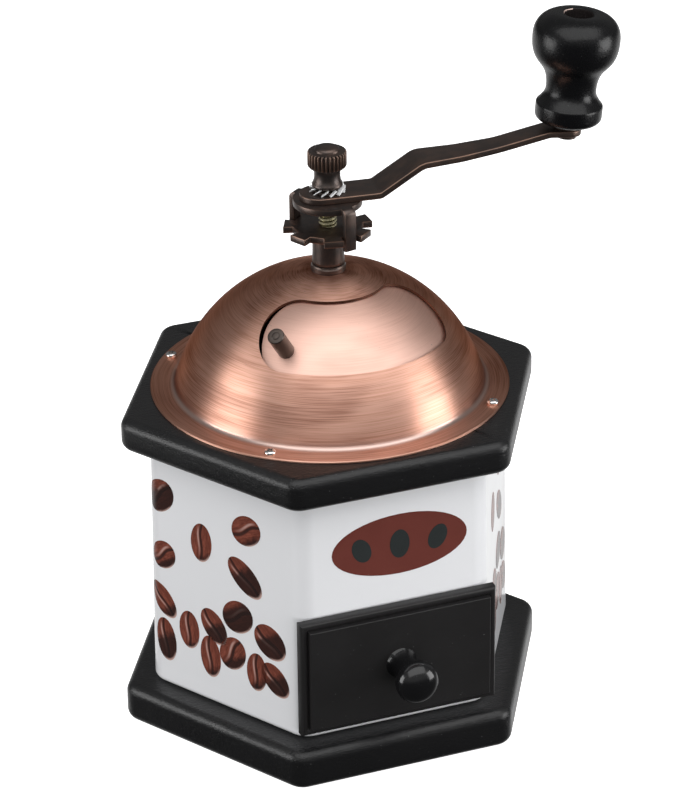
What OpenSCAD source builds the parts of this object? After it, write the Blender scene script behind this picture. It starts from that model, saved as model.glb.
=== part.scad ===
// Hand crank coffee grinder: hexagonal ceramic body between two wooden boards,
// domed metal hopper with a turning shutter, conical burrs, crank and drawer.
// Z is up, the origin is the centre of the base underside, the drawer opens towards -Y.

/* [Boards] */
// Width of the top board beyond the dome's flange on each flat side
board_rim = 4.5; // [2:0.5:12]
// How much wider the base board is than the top board
base_margin = 3; // [0:0.2:10]
// Top board thickness
board_h = 11.6; // [10.5:0.1:16]
// Base board thickness
base_h = 14; // [10:0.5:20]
// Plan radius of the board corners
board_corner_r = 7; // [5:0.5:12]
// Rolled edge radius of the top board
board_edge_r = 3.4; // [1.5:0.1:4.5]
// Rolled edge radius of the base board
base_edge_r = 3.6; // [1:0.1:4.5]

/* [Ceramic body] */
// Body height between the boards
body_h = 89.7; // [86:0.1:110]
// Body width across flats at the top
body_af_top = 112.8; // [110:0.2:118]
// Body width across flats at the bottom
body_af_bottom = 115; // [112:0.2:120]
// Wall thickness of the body
body_wall = 4.5; // [3:0.1:6]
// Outer radius of the body's upright corners
body_corner_r = 8; // [6:0.5:10]
// Height of the sill below the drawer window
sill_h = 4.5; // [2:0.5:6]

/* [Drawer] */
// Outside width of the drawer box
drawer_w = 54; // [44:1:55]
// Length of the drawer box behind its front
drawer_depth = 86; // [60:1:90]
// Height of the drawer box
drawer_h = 32.5; // [24:0.5:35]
// Thickness of the drawer's sides and back
drawer_wall = 4; // [3:0.5:6]
// Thickness of the drawer's floor
drawer_floor_t = 3; // [2:0.5:4]
// Width of the drawer front
front_w = 70; // [64:1:72]
// Height of the drawer front
front_h = 43; // [40:1:46]
// Thickness of the drawer front
front_t = 5; // [4:0.5:8]
// Width of the moulded edge of the drawer front
front_edge = 3.2; // [2:0.2:5]
// Sliding clearance round the drawer box
drawer_gap = 0.4; // [0.3:0.1:1]
// Radius of the drawer knob's head
pull_r = 7.3; // [5:0.1:10]
// Reach of the drawer knob from the drawer front
pull_len = 19; // [16:0.5:26]
// Width of the drawer runners' lips
runner_lip = 3; // [2:0.5:3.5]

/* [Dome] */
// Outside radius of the dome's sphere
dome_r = 54; // [52:0.5:56]
// Depth of the sphere's centre below the top board's upper face
dome_drop = 12.1; // [8:0.1:16]
// Sheet thickness of the dome
dome_wall = 0.8; // [0.6:0.1:1.5]
// Width of the flange beyond the dome's sphere
flange_w = 6.5; // [6:0.5:9]
// Radius of the fillet between dome and flange
foot_r = 1.8; // [1:0.1:2.5]
// Radius of the opening's inner edge, about the spindle
opening_inner_r = 19; // [17:0.5:24]
// Radius of the opening's outer edge, about the spindle
opening_outer_r = 41.5; // [38:0.5:43]
// Angle from the opening's middle to the centre of each rounded end
opening_half_angle = 44; // [30:1:50]
// Distance of the flange screws beyond the dome's sphere
screw_reach = 3.5; // [3:0.1:4]
// Angle of the first flange screw
screw_start = 49; // [35:1:65]
// Head radius of the flange screws
screw_head_r = 1.95; // [1.6:0.05:2.2]

/* [Shutter] */
// Sheet thickness of the shutter
shutter_wall = 1; // [0.8:0.1:1.5]
// Gap between dome and shutter
shutter_gap = 0.35; // [0.3:0.05:0.6]
// Overlap of the shutter past the opening's edges
shutter_lap = 2; // [1:0.1:3]
// Angle that the shutter stands open in its rest pose
shutter_ajar = 6; // [0:0.5:8]
// Radius of the shutter's pin
pin_r = 2.8; // [2:0.1:3.5]
// Reach of the pin above the shutter
pin_len = 12.5; // [8:0.5:16]

/* [Spindle stack] */
// Radius of the spindle
spindle_r = 3; // [2.5:0.1:4]
// Radial running clearance of shafts in bearings
run_gap = 0.05; // [0.03:0.01:0.08]
// Axial clearance between turning and standing pieces
end_gap = 0.3; // [0.3:0.05:0.6]
// Radius of the collar ring on the dome
collar_r = 5.85; // [5.7:0.05:7]
// Height of the collar ring
collar_h = 2.4; // [1.5:0.1:4]
// Radius of the collar's stem through dome and shutter
stem_r = 4.2; // [4.15:0.05:4.6]
// Radius of the adjusting wheel's boss
boss_r = 5.4; // [5:0.05:6.5]
// Height of the adjusting wheel's boss
boss_h = 11; // [6:0.5:16]
// Radius of the adjusting wheel at its lobes' tips
wheel_r = 15.6; // [14:0.1:18]
// Lobes of the adjusting wheel
wheel_lobes = 7; // [6:1:9]
// Thickness of the adjusting wheel
wheel_t = 2.4; // [1.5:0.1:4]
// Distance from the adjusting wheel to the lock plate
lock_gap = 7.6; // [4:0.2:12]
// Radius of the lock plate
plate_r = 11.5; // [10:0.1:12]
// Thickness of the lock plate
plate_t = 2.1; // [1.5:0.1:3]
// Width of the lock plate's tabs
tab_w = 4.2; // [3:0.1:5]
// Reach of the tabs below the adjusting wheel's upper face
tab_reach = 4.8; // [3:0.2:7]
// Radius of the toothed washer
washer_r = 6.15; // [5.6:0.05:6.5]
// Height of the toothed washer
washer_h = 2.1; // [1.5:0.1:3]
// Teeth of the toothed washer
washer_teeth = 17; // [12:1:24]
// Head radius of the thumb nut
nut_r = 6.5; // [5.5:0.1:8]
// Height of the thumb nut up to its rim
nut_h = 12.2; // [10:0.1:16]
// Ridges round the thumb nut
nut_ridges = 30; // [20:2:40]

/* [Crank arm] */
// Distance from the spindle to the knob's axis
arm_len = 82.2; // [76:0.2:100]
// Direction of the arm at rest, about Z
arm_angle = -7; // [-20:1:20]
// Thickness of the arm strip
arm_t = 2.2; // [1.5:0.1:3]
// Width of the arm at the hub
arm_hub_w = 13.4; // [12:0.2:16]
// Width of the arm at the knob
arm_end_w = 9.4; // [8:0.2:11]
// Where the arm's rise begins
rise_start = 17; // [14:0.2:20]
// Where the arm's rise ends
rise_end = 31.4; // [28:0.5:38]
// Height of the steep rise
rise_h = 8.9; // [4:0.2:12]
// Height that the arm gains after the steep rise
tail_rise = 4.6; // [1:0.1:6]

/* [Knob] */
// Largest radius of the knob's head
knob_r = 14.6; // [12:0.1:18]
// Radius of the knob's foot rim
knob_foot_r = 11.2; // [9.5:0.1:13]
// Radius of the knob's neck
knob_neck_r = 8.4; // [6:0.1:9]
// Height of the knob
knob_h = 38.6; // [36:0.2:50]
// Outward lean of the knob
knob_lean = 5; // [0:0.5:8]
// Radius of the hole in the knob's top
knob_hole_r = 4.7; // [4.3:0.1:5.5]
// Depth of the hole in the knob's top
knob_hole_depth = 12; // [6:0.5:16]
// Radius of the rivet that the knob turns on
rivet_r = 2; // [1.5:0.1:2.3]

/* [Grinding mechanism] */
// Radius of the housing's spigot in the top board
spigot_r = 30.8; // [28:0.2:34]
// Radius of the housing's flange under the top board
housing_flange_r = 40; // [39.5:0.5:41.5]
// Outside radius of the outer burr
burr_r = 17.4; // [15:0.2:18.5]
// Height of the outer burr
burr_h = 13.5; // [10:0.5:16]
// Wall of the housing round the burr
housing_wall = 4; // [3:0.5:6]
// Gap between the burrs at their lower edge
grind_gap = 0.5; // [0.4:0.1:1]
// Grooves in each burr
burr_grooves = 12; // [8:1:16]
// Radius of the tie rods
rod_r = 2; // [1.5:0.1:2.5]
// Distance of the tie rods from the centre
rod_circle_r = 46; // [45:0.2:47]

/* [Hidden] */

$fn = 64;
cut = 1;            // how far a cutter runs past the face it cuts
hex_sides = 6;
hull_fn = 32;       // facets of round children inside hulls
fit_gap = 0.05;     // radial clearance of fixed pieces in their holes
thread_gap = 0.02;  // radial clearance of a nut on its screw
seat_gap = 0.02;    // clearance of a flat seat on a sphere
tip_gap = 0.3;      // room left past the end of a screw or shaft

// Widths that follow the dome
flange_r = dome_r + flange_w;
screw_circle_r = dome_r + screw_reach;
board_af = 2 * (flange_r + board_rim);
base_af = board_af + base_margin;

// Heights of the main levels
z_body = base_h;
z_under = base_h + body_h;
z_deck = z_under + board_h;
z_sphere = z_deck - dome_drop;

// Dome and shutter spheres
dome_in_r = dome_r - dome_wall;
shutter_out_r = dome_in_r - shutter_gap;
shutter_in_r = shutter_out_r - shutter_wall;
stem_hole_r = stem_r + fit_gap;
opening_mid_r = (opening_inner_r + opening_outer_r) / 2;
opening_middle = -90;
shutter_hub_r = opening_inner_r - shutter_lap / 2;
pin_circle_r = opening_mid_r + 5.1;
pin_angle = opening_middle - opening_half_angle - 0.6;
pin_tilt = asin(pin_circle_r / shutter_out_r);
pin_stem_r = pin_r * 0.55;

// Stack on the spindle, from the dome upwards
z_collar = z_sphere + sqrt(pow(dome_r, 2) - pow(stem_hole_r, 2)) + seat_gap;
z_boss = z_collar + collar_h + end_gap;
z_wheel = z_boss + boss_h;
z_plate = z_wheel + wheel_t + lock_gap;
z_arm = z_plate + plate_t;
z_washer = z_arm + arm_t;
z_nut = z_washer + washer_h;
nut_crown = 1.8;
z_nut_bore = z_nut + nut_h - 1;
bore_r = spindle_r + run_gap;
keyed_r = spindle_r + thread_gap;

// Stack under the dome
collar_nut_af = 2 * stem_r + 3.6;
collar_nut_h = 4;
collar_nut_corner_r = collar_nut_af / 2 / cos(30);
z_collar_nut_top = z_sphere + sqrt(pow(shutter_in_r, 2) - pow(collar_nut_corner_r, 2)) - end_gap;
z_collar_nut = z_collar_nut_top - collar_nut_h;
z_stem = z_collar_nut - 0.6;

// Adjusting wheel and lock plate
notch_angle = -77.5;
notch_floor_w = tab_w + 0.7;
notch_mouth_w = tab_w + 2.4;
tab_t = 1.8;
tab_r = plate_r + 2.1;
notch_r = tab_r - tab_t - 0.3;
lobe_pitch = 360 / wheel_lobes;
rim_reach = wheel_r + 3;
tab_angles = [notch_angle, notch_angle + lobe_pitch * ceil(wheel_lobes / 2)];

// Crank arm and knob
arm_pad = 7;
tail_start = 58;
z_pad = z_washer + rise_h + tail_rise;
knob_washer_r = 4.6;
knob_washer_h = 1;
knob_low = knob_washer_h + end_gap;
rivet_hole_r = rivet_r + run_gap;
rivet_head_r = knob_hole_r - 0.9;
rivet_head_h = 1.6;
rivet_foot_r = rivet_r + 1.4;
rivet_foot_h = 1.2;
rivet_low = arm_t + rivet_foot_h;
rivet_head_low = knob_low + knob_h - knob_hole_depth + end_gap;

// Spigot and screws
spigot_h = 4;
spigot_hole_r = spigot_r + 0.2;
housing_flange_t = 3;
z_flange = z_under - housing_flange_t;
flange_screw_angles = [for (i = [0:3]) screw_start + 90 * i];
housing_screw_angles = [30, 150, 270];
lug_angles = [90, 270];
screw_head_h = 1.5;
wood_screw_r = 1.2;
wood_screw_l = 7;
housing_screw_r = 1.5;
housing_screw_l = 4;
housing_screw_circle_r = (spigot_hole_r + housing_flange_r) / 2;
housing_head_r = 2.8;
housing_head_h = 1.8;
rod_head_r = 2 * rod_r;
rod_head_h = 2.6;
rod_recess_r = rod_head_r + 0.6;
rod_recess_h = 4;
rod_bite = 7;
rod_angles = [0, 90, 180];

// Grinding mechanism, downwards from the top board
dish_r = dome_r - 7;
barrel_in_r = burr_r + fit_gap;
barrel_r = barrel_in_r + housing_wall;
barrel_lip = 0.9;
barrel_lip_h = 1;
funnel_h = 11;
z_burr = z_under - funnel_h - burr_h - 2.5;
z_barrel = z_burr - barrel_lip_h;
outer_burr_low_r = burr_r - 2.1;
outer_burr_top_r = burr_r - 4.2;
inner_burr_low_r = outer_burr_low_r - grind_gap;
inner_burr_top_r = spindle_r + 3;
inner_burr_h = burr_h + 2.7;
burr_nut_af = 2 * spindle_r + 4;
burr_nut_h = 4.3;
bridge_ring_h = 10;
bridge_arm_h = 3.7;
bridge_arm_w = 5;
hub_r = spindle_r + 3;
hub_h = 6;
z_bridge = z_barrel - bridge_ring_h;
z_hub = z_bridge - 2;
lug_r = 4;
lug_circle_r = barrel_r + housing_head_r + 0.3;
lug_h = 6;
lug_cap = 1;
groove_w = 1.2;
groove_lean = 13;
groove_angles = [for (i = [0:burr_grooves - 1]) 360 * i / burr_grooves];
clip_r = spindle_r + 2;
clip_h = 1;
z_clip = z_hub - end_gap - clip_h;
z_spindle = z_clip - 3;

// Drawer
z_drawer = z_body + sill_h + end_gap;
window_w = drawer_w + 2 * drawer_gap;
window_h = drawer_h + end_gap + drawer_gap;
y_face = -body_af_bottom / 2;
y_front_back = y_face - end_gap;
y_front = y_front_back - front_t;
z_front = z_body + 3.2;
z_pull = z_front + front_h / 2 + 1;
runner_w = 8;
y_runner = y_face + body_wall + 7;
runner_l = drawer_depth - 8;
drawer_inner_w = drawer_w - 2 * drawer_wall;
runner_lip_h = 9;
pull_stem_r = 0.62 * pull_r;
pull_screw_r = 1.5;
pull_screw_bite = 8;

// One point of a cubic curve
function curve_at(a, b, c, d, t) =
    pow(1 - t, 3) * a + 3 * pow(1 - t, 2) * t * b + 3 * (1 - t) * t * t * c + pow(t, 3) * d;

// Points along a cubic curve, both ends included
function curve(a, b, c, d, n = 8) = [for (i = [0:n]) curve_at(a, b, c, d, i / n)];

// Outline of a toothed ring: n teeth between radii low and high
function teeth(n, low, high) =
    [for (i = [0:2 * n - 1]) let (r = i % 2 == 0 ? high : low, a = 180 * i / n) [r * cos(a), r * sin(a)]];

// Slab outline of a bent strip: the lower line, then the upper line back
function strip(low, t) = concat(low, [for (i = [len(low) - 1:-1:0]) low[i] + [0, t]]);

// A turned disc with rolled edges, as the corner of a board
module rolled_disc(r, h, edge) {
    steps = 5;
    low = arc([r - edge, edge], edge, -90, 0, steps);
    high = arc([r - edge, h - edge], edge, 0, 90, steps);
    rotate_extrude($fn = hull_fn) polygon(concat([[0, 0]], low, high, [[0, h]]));
}

// A hexagonal board with rounded corners and rolled edges; corners lie on the X axis
module hex_board(af, h, corner, edge) {
    reach = (af / 2 - corner) / cos(30);
    hull() for (k = [0:5]) rotate(60 * k) translate([reach, 0, 0]) rolled_disc(corner, h, edge);
}

// A hexagonal prism whose width changes from bottom to top
module hex_prism(low_af, high_af, h, corner) {
    ring_h = 0.1;
    hull() for (k = [0:5], top = [0, 1]) {
        af = top == 1 ? high_af : low_af;
        rotate(60 * k) translate([(af / 2 - corner) / cos(30), 0, top * (h - ring_h)])
            cylinder(r = corner, h = ring_h, $fn = hull_fn);
    }
}

// Points on an arc about a centre, both ends included
function arc(centre, r, a, b, n) =
    [for (i = [0:n]) let (t = a + (b - a) * i / n) centre + r * [cos(t), sin(t)]];

// Outline of a bean about the origin: a ring sector from angle a to b with round ends
function bean(inner, outer, a, b) =
    let (mid = (inner + outer) / 2, lobe = (outer - inner) / 2) concat(
        arc([0, 0], outer, a, b, 22),
        arc(mid * [cos(b), sin(b)], lobe, b + 12, b + 168, 13),
        arc([0, 0], inner, b, a, 14),
        arc(mid * [cos(a), sin(a)], lobe, a + 192, a + 348, 13));

// Places its child at each angle on a circle about Z
module around(angles, r) {
    for (a = angles) rotate(a) translate([r, 0, 0]) children();
}

// A pan head with a cross recess, its seat at z = 0
module cross_head(r, h) {
    slot_w = 0.28 * r;
    difference() {
        union() {
            cylinder(r = r, h = h * 0.45);
            translate([0, 0, h * 0.45]) cylinder(r1 = r, r2 = r * 0.62, h = h * 0.55);
        }
        for (a = [0, 90]) rotate(a)
            translate([-r * 0.55, -slot_w / 2, h * 0.45]) cube([r * 1.1, slot_w, h]);
    }
}

// A hexagonal nut with a bore, standing on z = 0
module hex_nut(af, h, bore) {
    difference() {
        cylinder(r = af / 2 / cos(30), h = h, $fn = hex_sides);
        translate([0, 0, -cut]) cylinder(r = bore, h = h + 2 * cut);
    }
}

module base_board() {
    color([0.13, 0.13, 0.13]) difference() {
        hex_board(base_af, base_h, board_corner_r, base_edge_r);
        translate([0, 0, -cut]) around(rod_angles, rod_circle_r) {
            cylinder(r = rod_r + fit_gap, h = base_h + 2 * cut);
            cylinder(r = rod_recess_r, h = rod_recess_h + cut);
        }
    }
}

module ceramic_body() {
    low_in = body_af_bottom - 2 * body_wall;
    high_in = body_af_top - 2 * body_wall;
    color([0.93, 0.93, 0.94]) translate([0, 0, z_body]) difference() {
        hex_prism(body_af_bottom, body_af_top, body_h, body_corner_r);
        translate([0, 0, -cut]) hex_prism(low_in, high_in, body_h + 2 * cut, body_corner_r - body_wall / 2);
        translate([-window_w / 2, y_face - cut, sill_h]) cube([window_w, body_af_bottom / 4, window_h]);
    }
}

module top_board() {
    dish_h = board_h - spigot_h;
    color([0.13, 0.13, 0.13]) translate([0, 0, z_under]) difference() {
        hex_board(board_af, board_h, board_corner_r, board_edge_r);
        translate([0, 0, -cut]) cylinder(r = spigot_hole_r, h = board_h + 2 * cut);
        translate([0, 0, board_h - dish_h]) cylinder(r1 = spigot_hole_r, r2 = dish_r, h = dish_h);
        translate([0, 0, board_h]) cylinder(r = dish_r, h = cut);
        translate([0, 0, -cut]) around(rod_angles, rod_circle_r)
            cylinder(r = rod_r + fit_gap, h = rod_bite + cut + tip_gap);
        translate([0, 0, board_h - wood_screw_l - tip_gap]) around(flange_screw_angles, screw_circle_r)
            cylinder(r = wood_screw_r + fit_gap, h = wood_screw_l + tip_gap + cut);
        translate([0, 0, -cut]) around(housing_screw_angles, housing_screw_circle_r)
            cylinder(r = housing_screw_r + fit_gap, h = housing_screw_l + cut + tip_gap);
    }
}

module tie_rod(i) {
    color([0.6, 0.6, 0.62]) translate([0, 0, rod_recess_h]) around([rod_angles[i]], rod_circle_r) {
        cylinder(r = rod_r, h = z_under - rod_recess_h + rod_bite);
        mirror([0, 0, 1]) cross_head(rod_head_r, rod_head_h);
    }
}

// The left runner has its lip on the side of -X
module drawer_runner(is_left) {
    x = drawer_w / 2 + drawer_gap;
    color([0.55, 0.38, 0.22]) mirror([is_left ? 1 : 0, 0, 0]) translate([x, y_runner, z_body]) {
        translate([runner_lip - runner_w, 0, 0]) cube([runner_w, runner_l, sill_h]);
        cube([runner_lip, runner_l, runner_lip_h]);
    }
}

module dome_hopper() {
    foot_x = sqrt(pow(dome_r, 2) - pow(dome_drop + dome_wall + foot_r, 2));
    opening = bean(opening_inner_r, opening_outer_r,
        opening_middle - opening_half_angle, opening_middle + opening_half_angle);
    color([0.72, 0.48, 0.38]) translate([0, 0, z_deck]) difference() {
        union() {
            intersection() {
                translate([0, 0, -dome_drop]) sphere(r = dome_r);
                cylinder(r = dome_r + cut, h = dome_r);
            }
            rotate_extrude() translate([foot_x - dome_wall, 0]) difference() {
                square([dome_wall + foot_r, dome_wall + foot_r]);
                translate([dome_wall + foot_r, dome_wall + foot_r]) circle(r = foot_r);
            }
            cylinder(r = flange_r, h = dome_wall);
        }
        translate([0, 0, -dome_drop]) sphere(r = dome_in_r);
        cylinder(r = stem_hole_r, h = dome_r);
        translate([0, 0, dome_r / 4]) linear_extrude(dome_r) polygon(opening);
        translate([0, 0, -cut]) around(flange_screw_angles, screw_circle_r)
            cylinder(r = wood_screw_r + fit_gap, h = dome_wall + 2 * cut);
    }
}

module dome_screw(i) {
    color([0.85, 0.85, 0.86]) around([flange_screw_angles[i]], screw_circle_r) {
        translate([0, 0, z_deck + dome_wall]) cross_head(screw_head_r, screw_head_h);
        translate([0, 0, z_deck - wood_screw_l]) cylinder(r = wood_screw_r, h = dome_wall + wood_screw_l);
    }
}

module dome_collar() {
    color([0.24, 0.19, 0.18]) difference() {
        union() {
            translate([0, 0, z_collar]) cylinder(r = collar_r, h = collar_h);
            translate([0, 0, z_stem]) cylinder(r = stem_r, h = z_collar - z_stem + collar_h / 2);
        }
        translate([0, 0, z_stem - cut]) cylinder(r = bore_r, h = 2 * dome_r);
    }
}

module collar_nut() {
    color([0.3, 0.26, 0.25]) translate([0, 0, z_collar_nut])
        hex_nut(collar_nut_af, collar_nut_h, stem_r + thread_gap);
}

module burr_housing() {
    funnel_r = spigot_r - 1.5;
    color([0.32, 0.32, 0.33]) difference() {
        union() {
            translate([0, 0, z_under]) cylinder(r = spigot_r, h = spigot_h);
            translate([0, 0, z_flange]) cylinder(r = housing_flange_r, h = housing_flange_t);
            translate([0, 0, z_under - funnel_h]) cylinder(r1 = barrel_r, r2 = funnel_r, h = funnel_h);
            translate([0, 0, z_barrel]) cylinder(r = barrel_r, h = z_under - z_barrel);
            translate([0, 0, z_barrel]) around(lug_angles, lug_circle_r) cylinder(r = lug_r, h = lug_h);
        }
        translate([0, 0, z_under - funnel_h])
            cylinder(r1 = barrel_in_r, r2 = funnel_r, h = funnel_h + spigot_h + 0.01);
        translate([0, 0, z_burr]) cylinder(r = barrel_in_r, h = z_under - funnel_h - z_burr + 0.01);
        translate([0, 0, z_barrel - cut]) cylinder(r = barrel_in_r - barrel_lip, h = barrel_lip_h + 2 * cut);
        translate([0, 0, z_barrel - cut]) around(lug_angles, lug_circle_r)
            cylinder(r = housing_screw_r + fit_gap, h = lug_h - lug_cap + cut);
        translate([0, 0, z_flange - cut]) around(housing_screw_angles, housing_screw_circle_r)
            cylinder(r = housing_screw_r + fit_gap, h = housing_flange_t + 2 * cut);
    }
}

module housing_screw(i) {
    place = [housing_screw_angles[i]];
    color([0.6, 0.6, 0.62]) translate([0, 0, z_flange]) around(place, housing_screw_circle_r) {
        cylinder(r = housing_screw_r, h = housing_flange_t + housing_screw_l);
        mirror([0, 0, 1]) cross_head(housing_head_r, housing_head_h);
    }
}

module outer_burr() {
    color([0.5, 0.5, 0.52]) translate([0, 0, z_burr]) difference() {
        cylinder(r = burr_r, h = burr_h);
        translate([0, 0, -cut]) cylinder(r = outer_burr_top_r, h = burr_h + 2 * cut);
        translate([0, 0, -0.01]) cylinder(r1 = outer_burr_low_r, r2 = outer_burr_top_r, h = burr_h + 0.01);
        around(groove_angles, outer_burr_top_r - groove_w / 2)
            translate([0, 0, 2]) rotate([groove_lean, 0, 0]) cube([2, groove_w, burr_h + 2]);
    }
}

module bearing_bridge() {
    color([0.32, 0.32, 0.33]) translate([0, 0, z_bridge]) difference() {
        union() {
            difference() {
                union() {
                    cylinder(r = barrel_r, h = bridge_ring_h);
                    translate([0, 0, bridge_ring_h - lug_h]) around(lug_angles, lug_circle_r)
                        cylinder(r = lug_r, h = lug_h);
                }
                translate([0, 0, -cut]) cylinder(r = barrel_in_r, h = bridge_ring_h + 2 * cut);
            }
            for (i = [0:2]) rotate(120 * i) translate([0, -bridge_arm_w / 2, 0])
                cube([barrel_in_r + housing_wall / 2, bridge_arm_w, bridge_arm_h]);
            translate([0, 0, z_hub - z_bridge]) cylinder(r = hub_r, h = hub_h);
        }
        translate([0, 0, z_hub - z_bridge - cut]) cylinder(r = bore_r, h = hub_h + 2 * cut);
        translate([0, 0, -cut]) around(lug_angles, lug_circle_r)
            cylinder(r = housing_screw_r + fit_gap, h = bridge_ring_h + 2 * cut);
    }
}

module bridge_screw(i) {
    color([0.6, 0.6, 0.62]) translate([0, 0, z_barrel - lug_h]) around([lug_angles[i]], lug_circle_r) {
        cylinder(r = housing_screw_r, h = 2 * lug_h - lug_cap - tip_gap);
        mirror([0, 0, 1]) cross_head(housing_head_r, housing_head_h);
    }
}

module shutter() {
    middle = opening_middle + shutter_ajar;
    plan = bean(opening_inner_r - shutter_lap, opening_outer_r + shutter_lap,
        middle - opening_half_angle, middle + opening_half_angle);
    color([0.75, 0.52, 0.42]) translate([0, 0, z_sphere]) difference() {
        intersection() {
            sphere(r = shutter_out_r);
            union() {
                linear_extrude(dome_r) polygon(plan);
                cylinder(r = shutter_hub_r, h = dome_r);
            }
        }
        sphere(r = shutter_in_r);
        cylinder(r = stem_r + run_gap, h = dome_r);
        rotate(pin_angle) rotate([0, pin_tilt, 0]) cylinder(r = pin_stem_r + fit_gap, h = dome_r);
    }
}

module shutter_pin() {
    tail_r = pin_stem_r + 0.8;
    tail_h = 1.2;
    tail_top = sqrt(pow(shutter_in_r, 2) - pow(tail_r, 2)) - seat_gap;
    tail_low = tail_top - tail_h;
    edge = 0.6;
    pin_top = shutter_out_r + pin_len;
    color([0.26, 0.22, 0.21]) translate([0, 0, z_sphere]) rotate(pin_angle) rotate([0, pin_tilt, 0]) {
        translate([0, 0, shutter_out_r]) cylinder(r = pin_r, h = pin_len - edge);
        translate([0, 0, pin_top - edge]) cylinder(r1 = pin_r, r2 = pin_r - edge, h = edge);
        translate([0, 0, tail_low]) cylinder(r = pin_stem_r, h = pin_top - edge - tail_low);
        translate([0, 0, tail_low]) cylinder(r = tail_r, h = tail_h);
    }
}

module spindle() {
    spindle_l = z_nut_bore - tip_gap - z_spindle;
    color([0.55, 0.5, 0.35]) translate([0, 0, z_spindle]) cylinder(r = spindle_r, h = spindle_l);
}

module inner_burr() {
    lean = atan((inner_burr_low_r - inner_burr_top_r) / inner_burr_h);
    color([0.45, 0.45, 0.47]) translate([0, 0, z_burr]) difference() {
        cylinder(r1 = inner_burr_low_r, r2 = inner_burr_top_r, h = inner_burr_h);
        translate([0, 0, -cut]) cylinder(r = keyed_r, h = inner_burr_h + 2 * cut);
        around(groove_angles, inner_burr_low_r) translate([0, 0, 1.5]) rotate([groove_lean, -lean, 0])
            translate([-1, -groove_w / 2, 0]) cube([3, groove_w, inner_burr_h * 1.6]);
    }
}

module burr_nut() {
    color([0.6, 0.6, 0.62]) translate([0, 0, z_burr - burr_nut_h]) hex_nut(burr_nut_af, burr_nut_h, keyed_r);
}

module spindle_clip() {
    color([0.6, 0.6, 0.62]) translate([0, 0, z_clip]) difference() {
        cylinder(r = clip_r, h = clip_h);
        translate([0, 0, -cut]) cylinder(r = keyed_r, h = clip_h + 2 * cut);
    }
}

// Plan of one notch of the adjusting wheel, opening towards +X
module notch() {
    out = rim_reach;
    grow = (notch_mouth_w - notch_floor_w) / 2 * (out - notch_r) / (wheel_r - notch_r);
    polygon([[notch_r, -notch_floor_w / 2], [out, -notch_floor_w / 2 - grow],
        [out, notch_floor_w / 2 + grow], [notch_r, notch_floor_w / 2]]);
}

module star_wheel() {
    half_mouth = asin(notch_mouth_w / 2 / wheel_r);
    rim = wheel_r * cos(lobe_pitch / 2 - half_mouth) / cos(lobe_pitch / 2);
    color([0.24, 0.2, 0.19]) difference() {
        union() {
            translate([0, 0, z_boss]) cylinder(r = boss_r, h = boss_h + cut);
            translate([0, 0, z_wheel]) rotate(notch_angle)
                cylinder(r = rim, h = wheel_t, $fn = wheel_lobes);
        }
        translate([0, 0, z_boss - cut]) cylinder(r = keyed_r, h = boss_h + wheel_t + 2 * cut);
        translate([0, 0, z_wheel - cut]) linear_extrude(wheel_t + 2 * cut)
            for (k = [0:wheel_lobes - 1]) rotate(notch_angle + lobe_pitch * k) notch();
    }
}

module lock_plate() {
    tab_low = z_wheel + wheel_t - tab_reach;
    tab_h = z_arm - tab_low;
    color([0.26, 0.22, 0.21]) difference() {
        union() {
            translate([0, 0, z_plate]) cylinder(r = plate_r, h = plate_t);
            for (a = tab_angles) rotate(a) {
                translate([0, -tab_w / 2, z_plate]) cube([tab_r, tab_w, plate_t]);
                translate([tab_r - tab_t, -tab_w / 2, tab_low]) cube([tab_t, tab_w, tab_h]);
            }
        }
        translate([0, 0, z_plate - cut]) cylinder(r = keyed_r, h = plate_t + 2 * cut);
    }
}

// Plan of the arm: wide round hub, taper, narrow round end
module arm_plan() {
    hub_back = 2.7;
    translate([-hub_back, 0]) circle(d = arm_hub_w);
    translate([arm_len, 0]) circle(d = arm_end_w);
    polygon([[-hub_back, -arm_hub_w / 2], [rise_end, -arm_hub_w / 2], [tail_start, -arm_end_w / 2],
        [arm_len, -arm_end_w / 2], [arm_len, arm_end_w / 2], [tail_start, arm_end_w / 2],
        [rise_end, arm_hub_w / 2], [-hub_back, arm_hub_w / 2]]);
}

// Stands its children on the arm's pad, square to it, with the knob's axis as their Z
module on_pad() {
    rotate(arm_angle) translate([arm_len, 0, z_pad]) rotate([0, knob_lean, 0]) children();
}

module crank_arm() {
    back = -arm_hub_w;
    tall = arm_t + rise_h + tail_rise + arm_pad * tan(knob_lean) + cut;
    line = [[back, 0], [rise_start, 0], [rise_end, rise_h],
        [(rise_end + tail_start) / 2, rise_h + tail_rise * 0.12], [tail_start, rise_h + tail_rise * 0.42],
        [arm_len - arm_pad, rise_h + tail_rise + arm_pad * tan(knob_lean)],
        [arm_len + arm_pad, rise_h + tail_rise - arm_pad * tan(knob_lean)]];
    color([0.27, 0.22, 0.2]) translate([0, 0, z_arm]) rotate(arm_angle) difference() {
        intersection() {
            linear_extrude(tall) arm_plan();
            translate([0, arm_hub_w, 0]) rotate([90, 0, 0]) linear_extrude(2 * arm_hub_w)
                polygon(strip(line, arm_t));
        }
        translate([0, 0, -cut]) cylinder(r = keyed_r, h = arm_t + 2 * cut);
        translate([arm_len, 0, rise_h + tail_rise + arm_t]) rotate([0, knob_lean, 0])
            translate([0, 0, -2 * arm_t]) cylinder(r = rivet_hole_r, h = 3 * arm_t);
    }
}

module toothed_washer() {
    seat_r = washer_r - 1.3;
    color([0.9, 0.9, 0.9]) translate([0, 0, z_washer]) difference() {
        union() {
            cylinder(r = seat_r, h = washer_h);
            translate([0, 0, washer_h / 2]) linear_extrude(washer_h / 2)
                polygon(teeth(washer_teeth, washer_r - 1, washer_r));
        }
        translate([0, 0, -cut]) cylinder(r = keyed_r, h = washer_h + 2 * cut);
    }
}

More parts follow.
